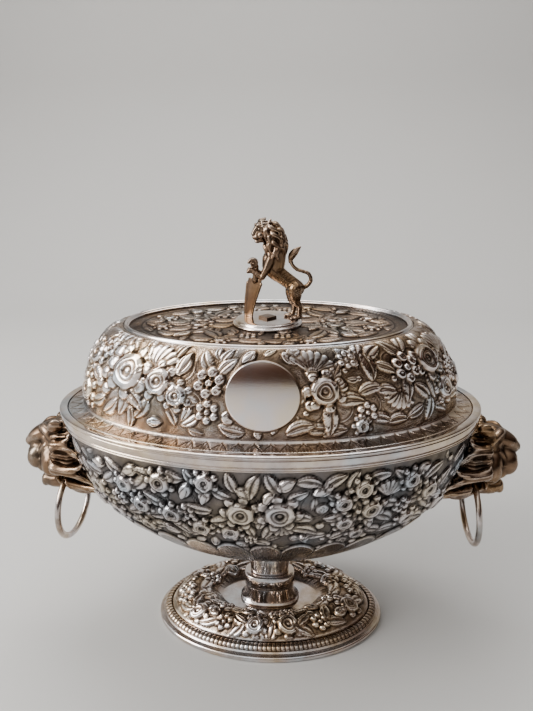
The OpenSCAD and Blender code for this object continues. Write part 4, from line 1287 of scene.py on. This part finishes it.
lay_mesh("shield", shield_skin, shield_faces, cast, "lid", ["finial_shield"],
         hollows(shield_skin, shield_faces, shield_edges, 12.0))

# ---- Lion ------------------------------------------------------------------------------
# A cast lion stands on its hind feet with its forepaws on the shield, its mane falling in
# locks and its tail bent up in an S to a leaf-shaped tuft.

look_way = np.radians(24.0)


def turned_head(x, y, z):
    """Place on the head, turned about its middle towards the front."""
    c, s = np.cos(look_way), np.sin(look_way)
    return (-2.6 + (x + 2.6) * c - y * s, (x + 2.6) * s + y * c, z)


def head_lump(at, radii):
    """Lump whose middle and turn follow the turned head."""
    return lump(turned_head(*at), radii, np.degrees(look_way))


def head_limb(rows, **how):
    """Limb whose rows follow the turned head."""
    return limb([(*turned_head(x, y, z), r) for x, y, z, r in rows], **how)


lion = [head_lump((-2.4, 0, 293.0), (5.6, 5.2, 6.0)), head_lump((-6.6, 0, 289.0), (3.4, 3.6, 3.6)),
        head_limb([(-5.6, 0, 295.0, 2.6), (-8.4, 0, 292.4, 1.9), (-10.6, 0, 289.4, 1.35)], flat=1.3),
        head_lump((-10.9, 0, 288.9), (1.2, 1.7, 1.1)), head_lump((-9.0, 0, 286.6), (2.4, 2.0, 2.0)),
        head_lump((-7.0, 0, 283.4), (2.6, 2.2, 1.5)), head_lump((-4.2, 0, 284.8), (3.4, 3.4, 2.6)),
        # trunk and mane core
        limb([(0.5, 0, 293.0, 5.4), (5.0, 0, 286.5, 6.6), (7.2, 0, 278.5, 7.0), (7.0, 0, 270.5, 6.9),
              (6.4, 0, 264.5, 6.6)], 30, 18),
        limb([(2.0, 0, 270.0, 5.6), (2.6, 0, 264.0, 6.0), (6.4, 0, 260.4, 6.3), (11.8, 0, 256.4, 5.6),
              (17.4, 0, 252.2, 5.5), (21.6, 0, 248.2, 6.0)],
             30, 18),
        # tail and tuft
        limb([(25.6, 0, 248.6, 1.9), (29.4, 0, 250.0, 1.6), (32.2, 0, 254.2, 1.5), (30.8, 0, 258.8, 1.4),
              (27.0, 0, 260.6, 1.35),
              (22.2, 0, 262.2, 1.35), (18.8, 0, 265.4, 1.35), (17.2, 0, 269.6, 1.4)], 50, 12),
        limb([(16.9, 0, 268.0, 1.3), (18.2, 0, 272.0, 2.7), (21.0, 0, 275.6, 2.6), (24.8, 0, 279.0, 0.6)], 24,
             12, flat=0.8),
        limb([(17.4, 0, 269.6, 1.0), (18.8, -1.2, 272.6, 1.2), (20.8, -1.4, 275.2, 1.1),
              (23.4, -0.7, 278.0, 0.4)], 20, 8)]
for side in (-1, 1):
    lion += [head_lump((-8.3, side * 1.6, 286.9), (1.9, 1.7, 1.8)),
             head_lump((-5.4, side * 3.2, 288.0), (2.6, 1.9, 2.8)),
             head_limb([(-8.4, side * 0.9, 294.6, 0.9), (-7.4, side * 2.8, 295.6, 1.15),
                        (-5.0, side * 4.4, 294.2, 0.9)], sides=8),
             head_lump((-6.8, side * 2.7, 292.7), (1.0, 1.1, 0.8)),
             head_limb([(-0.6, side * 4.6, 296.4, 1.0), (0.4, side * 5.6, 298.2, 1.3),
                        (1.2, side * 5.4, 299.6, 0.8)]),
             # upper arm, forearm and paw
             limb([(3.0, side * 5.2, 270.5, 3.4), (0.4, side * 5.8, 264.5, 3.0),
                   (-2.6, side * 5.8, 258.6, 2.3),
                   (-4.0, side * 5.6, 257.2, 2.1), (-7.2, side * 5.0, 259.4, 1.9),
                   (-11.0, side * 3.8, 262.0, 1.85)], 36, 12),
             lump((-12.4, side * 3.6, 261.8), (2.5, 2.1, 1.9)),
             # thigh, hock and foot
             limb([(19.6 - side * 1.0, side * 3.6, 248.6, 5.4), (19.4 - side * 1.2, side * 4.2, 243.6, 4.9),
                   (19.8 - side * 1.6, side * 4.4, 239.2, 3.4),
                   (21.8 - side * 1.9, side * 4.3, 235.6, 2.3), (21.6 - side * 2.2, side * 4.2, 231.0, 1.7),
                   (21.0 - side * 2.4, side * 4.2, 227.9, 1.8)], 40, 14),
             limb([(21.2 - side * 2.4, side * 4.2, 227.5, 1.7), (18.4 - side * 2.4, side * 4.2, 227.3, 1.7),
                   (16.0 - side * 2.4, side * 4.2, 227.0, 1.2)], flat=1.3)]
    for toe in (-1.2, 0.0, 1.2):
        lion.append(lump((15.4 - side * 2.4, side * 4.2 + toe * 1.2, 226.9), (1.1, 0.75, 0.9)))
        lion.append(lump((-14.0, side * 3.6 + toe, 261.0), (1.1, 0.7, 1.1)))
lion_tiers = [(0.0, 0.42, 1.7, 12), (0.16, 0.62, 1.8, 13), (0.34, 0.82, 1.8, 13), (0.55, 1.08, 1.7, 12)]
for tier, (low, high, thick, count) in enumerate(lion_tiers):
    for k in range(count):
        start = (k + 0.5 * (tier % 2)) / count * 2 * np.pi
        t = np.linspace(0, 1, 7)
        down = blend_of(low, high, t)
        axis = np.column_stack([np.interp(down, [0, 0.3, 0.62, 1.06], [-0.2, 4.6, 7.0, 6.6]),
                                np.interp(down, [0, 0.3, 0.62, 1.06], [295.0, 287.0, 278.0, 266.0])])
        round_by = np.interp(down, [0, 0.3, 0.62, 0.9, 1.06],
                             [5.8, 7.3, 7.8, 7.5, 6.8]) + 0.9 * np.sin(np.pi * t)
        a = start + 0.22 * np.sin(t * 5 + k * 1.7)
        tilt = np.radians(28.0)
        if np.cos(start) < -0.55 and tier < 2:
            continue
        lion.append(limb(np.column_stack([axis[:, 0] + round_by * np.cos(a) * np.cos(tilt),
                                          round_by * np.sin(a) * 0.93,
                                          axis[:, 1] + round_by * np.cos(a) * np.sin(tilt),
                                          thick * (0.4 + 0.9 * np.sin(np.pi * t ** 0.7) ** 0.8) * (1.1 - t)]),
                         16, 8))
for k in range(9):
    a = np.pi * (k + 0.5) / 9
    y, z = 5.2 * np.cos(a), 5.4 * np.sin(a)
    lion.append(head_limb([(-4.2, y * 0.7, 293.4 + z * 0.75, 0.7), (-4.8, y * 0.95, 293.6 + z * 1.02, 1.05),
                           (-1.8, y * 1.15, 293.4 + z * 1.22, 0.7)], sides=8))
lion_skin, lion_faces, lion_edges = skin_of(lion, 0.36, rounds=2)
lion_skin[:, 2] = np.clip(lion_skin[:, 2], plate_top - 0.2, cad_high[2] / MM)
lion_normals = skin_normals(lion_skin, lion_faces)
coat = np.sin(lion_skin[:, 0] * 2.4 + 1.7 * np.sin(lion_skin[:, 2] * 1.3)) * np.sin(lion_skin[:,
        2] * 2.1 + lion_skin[:, 1] * 2.0)
lion_skin += lion_normals * (0.09 * coat * smooth((266 - lion_skin[:, 2]) / 6))[:, None]
lay_mesh("lion", lion_skin, lion_faces, cast, "lid", ["finial_lion"],
         hollows(lion_skin, lion_faces, lion_edges, 12.0))

# ---- Stage, light and camera -----------------------------------------------------------
# A plain pale floor runs up into a wall of the same tone. One broad light stands to the left
# like a window, two soft ones hang above, and the room fades from cool to dim and warm.


def pale(name, tone):
    """Matt pale finish with the faintest clouding, the same all over."""
    material = bpy.data.materials.new(name)
    material.use_nodes = True
    tree = material.node_tree
    shader = tree.nodes["Principled BSDF"]
    shader.inputs["Roughness"].default_value = 0.75
    place = tree.nodes.new("ShaderNodeTexCoord").outputs["Object"]
    cloud = node_of(tree, "ShaderNodeTexNoise", Scale=3.0, Detail=4.0)
    tree.links.new(place, cloud.inputs["Vector"])
    ramp = tree.nodes.new("ShaderNodeValToRGB")
    ramp.color_ramp.elements[0].color = (*[c * 0.96 for c in tone], 1.0)
    ramp.color_ramp.elements[1].color = (*tone, 1.0)
    tree.links.new(cloud.outputs["Fac"], ramp.inputs["Fac"])
    tree.links.new(ramp.outputs["Color"], shader.inputs["Base Color"])
    return material


sweep_t = np.linspace(0, 1, 40)
sweep_y = np.concatenate([[-3.0, 0.0], 0.9 + 0.6 * np.sin(sweep_t * np.pi / 2), [1.5]])
sweep_z = np.concatenate([[0.0, 0.0], 0.6 * (1 - np.cos(sweep_t * np.pi / 2)), [3.5]]) - 0.0002
floor_mesh = bpy.data.meshes.new("floor")
across = np.array([-4.0, 4.0])
floor_points = np.stack([np.repeat(across[None], len(sweep_y), 0), np.repeat(sweep_y[:, None], 2, 1),
                         np.repeat(sweep_z[:, None], 2, 1)], axis=-1).reshape(-1, 3)
floor_mesh.from_pydata(floor_points.tolist(), [], grid_faces(len(sweep_y), 2, around=False).tolist())
floor_mesh.shade_smooth()
floor_mesh.materials.append(pale("pale_floor", (0.56, 0.555, 0.545)))
floor = bpy.data.objects.new("floor", floor_mesh)
bpy.context.scene.collection.objects.link(floor)


def area_light(name, at, towards, width, height, power, tone):
    """Soft rectangular light turned towards a point."""
    lamp = bpy.data.lights.new(name, "AREA")
    lamp.shape = "RECTANGLE"
    lamp.size, lamp.size_y, lamp.energy, lamp.color = width, height, power, tone
    made = bpy.data.objects.new(name, lamp)
    bpy.context.scene.collection.objects.link(made)
    made.location = at
    made.rotation_euler = (Vector(towards) - Vector(at)).to_track_quat("-Z", "Y").to_euler()
    return made


area_light("window_light", (-1.15, -0.50, 0.85), (0, 0, 0.15), 0.7, 1.2, 19.0, (1.0, 0.98, 0.95))
area_light("top_light", (-0.1, 0.55, 1.3), (0, 0.1, 0.2), 1.3, 0.5, 5.0, (1.0, 0.985, 0.97))
area_light("wall_light", (-0.2, 0.4, 1.9), (0.1, 1.6, 0.6), 2.0, 0.4, 11.0, (1.0, 0.985, 0.97))

world = bpy.data.worlds.new("room")
bpy.context.scene.world = world
world.use_nodes = True
sky = world.node_tree
direction = sky.nodes.new("ShaderNodeTexCoord").outputs["Generated"]
towards = node_of(sky, "ShaderNodeVectorMath", operation="DOT_PRODUCT")
towards.inputs[1].default_value = (-0.33, 0.10, 0.26)
sky.links.new(direction, towards.inputs[0])
split = sky.nodes.new("ShaderNodeSeparateXYZ")
sky.links.new(direction, split.inputs["Vector"])
above = node_of(sky, "ShaderNodeMapRange", From_Min=0.05, From_Max=0.45, To_Max=0.28,
                interpolation_type="SMOOTHSTEP")
sky.links.new(split.outputs["Z"], above.inputs["Value"])
side = maths(sky, "ADD", maths(sky, "ADD", towards.outputs["Value"], above.outputs["Result"]), 0.48,
             clamp=True)
room = sky.nodes.new("ShaderNodeValToRGB")
room.color_ramp.elements[0].position = 0.22
room.color_ramp.elements[0].color = (0.022, 0.014, 0.009, 1.0)
room.color_ramp.elements[1].position = 0.92
room.color_ramp.elements[1].color = (0.95, 0.95, 0.94, 1.0)
for at, tone in ((0.38, (0.060, 0.031, 0.020)), (0.50, (0.125, 0.076, 0.060)), (0.60, (0.25, 0.215, 0.195)),
                 (0.75, (0.54, 0.53, 0.52))):
    room.color_ramp.elements.new(at).color = (*tone, 1.0)
sky.links.new(side, room.inputs["Fac"])
sky.links.new(room.outputs["Color"], sky.nodes["Background"].inputs["Color"])
bpy.context.scene.view_settings.look = "AgX - Medium High Contrast"

camera_data = bpy.data.cameras.new("camera")
camera = bpy.data.objects.new("camera", camera_data)
bpy.context.scene.collection.objects.link(camera)
bpy.context.scene.camera = camera
camera_data.sensor_width = 36.0
camera_data.lens = 32.2
camera_data.shift_y = -0.217
azimuth, pitch, roll = np.radians([2.71, 4.01, -0.50])
distance, eye = 0.4646, 0.3452
ahead = np.array([-np.sin(azimuth) * np.cos(pitch), np.cos(azimuth) * np.cos(pitch), -np.sin(pitch)])
right = np.array([np.cos(azimuth), np.sin(azimuth), 0.0])
upward = np.cross(right, ahead)
tilted_right = np.cos(roll) * right + np.sin(roll) * upward
tilted_up = -np.sin(roll) * right + np.cos(roll) * upward
pose = np.eye(4)
pose[:3, 0], pose[:3, 1], pose[:3, 2] = tilted_right, tilted_up, -ahead
pose[:3, 3] = (distance * np.sin(azimuth), -distance * np.cos(azimuth), eye)
camera.matrix_world = Matrix(pose.tolist())
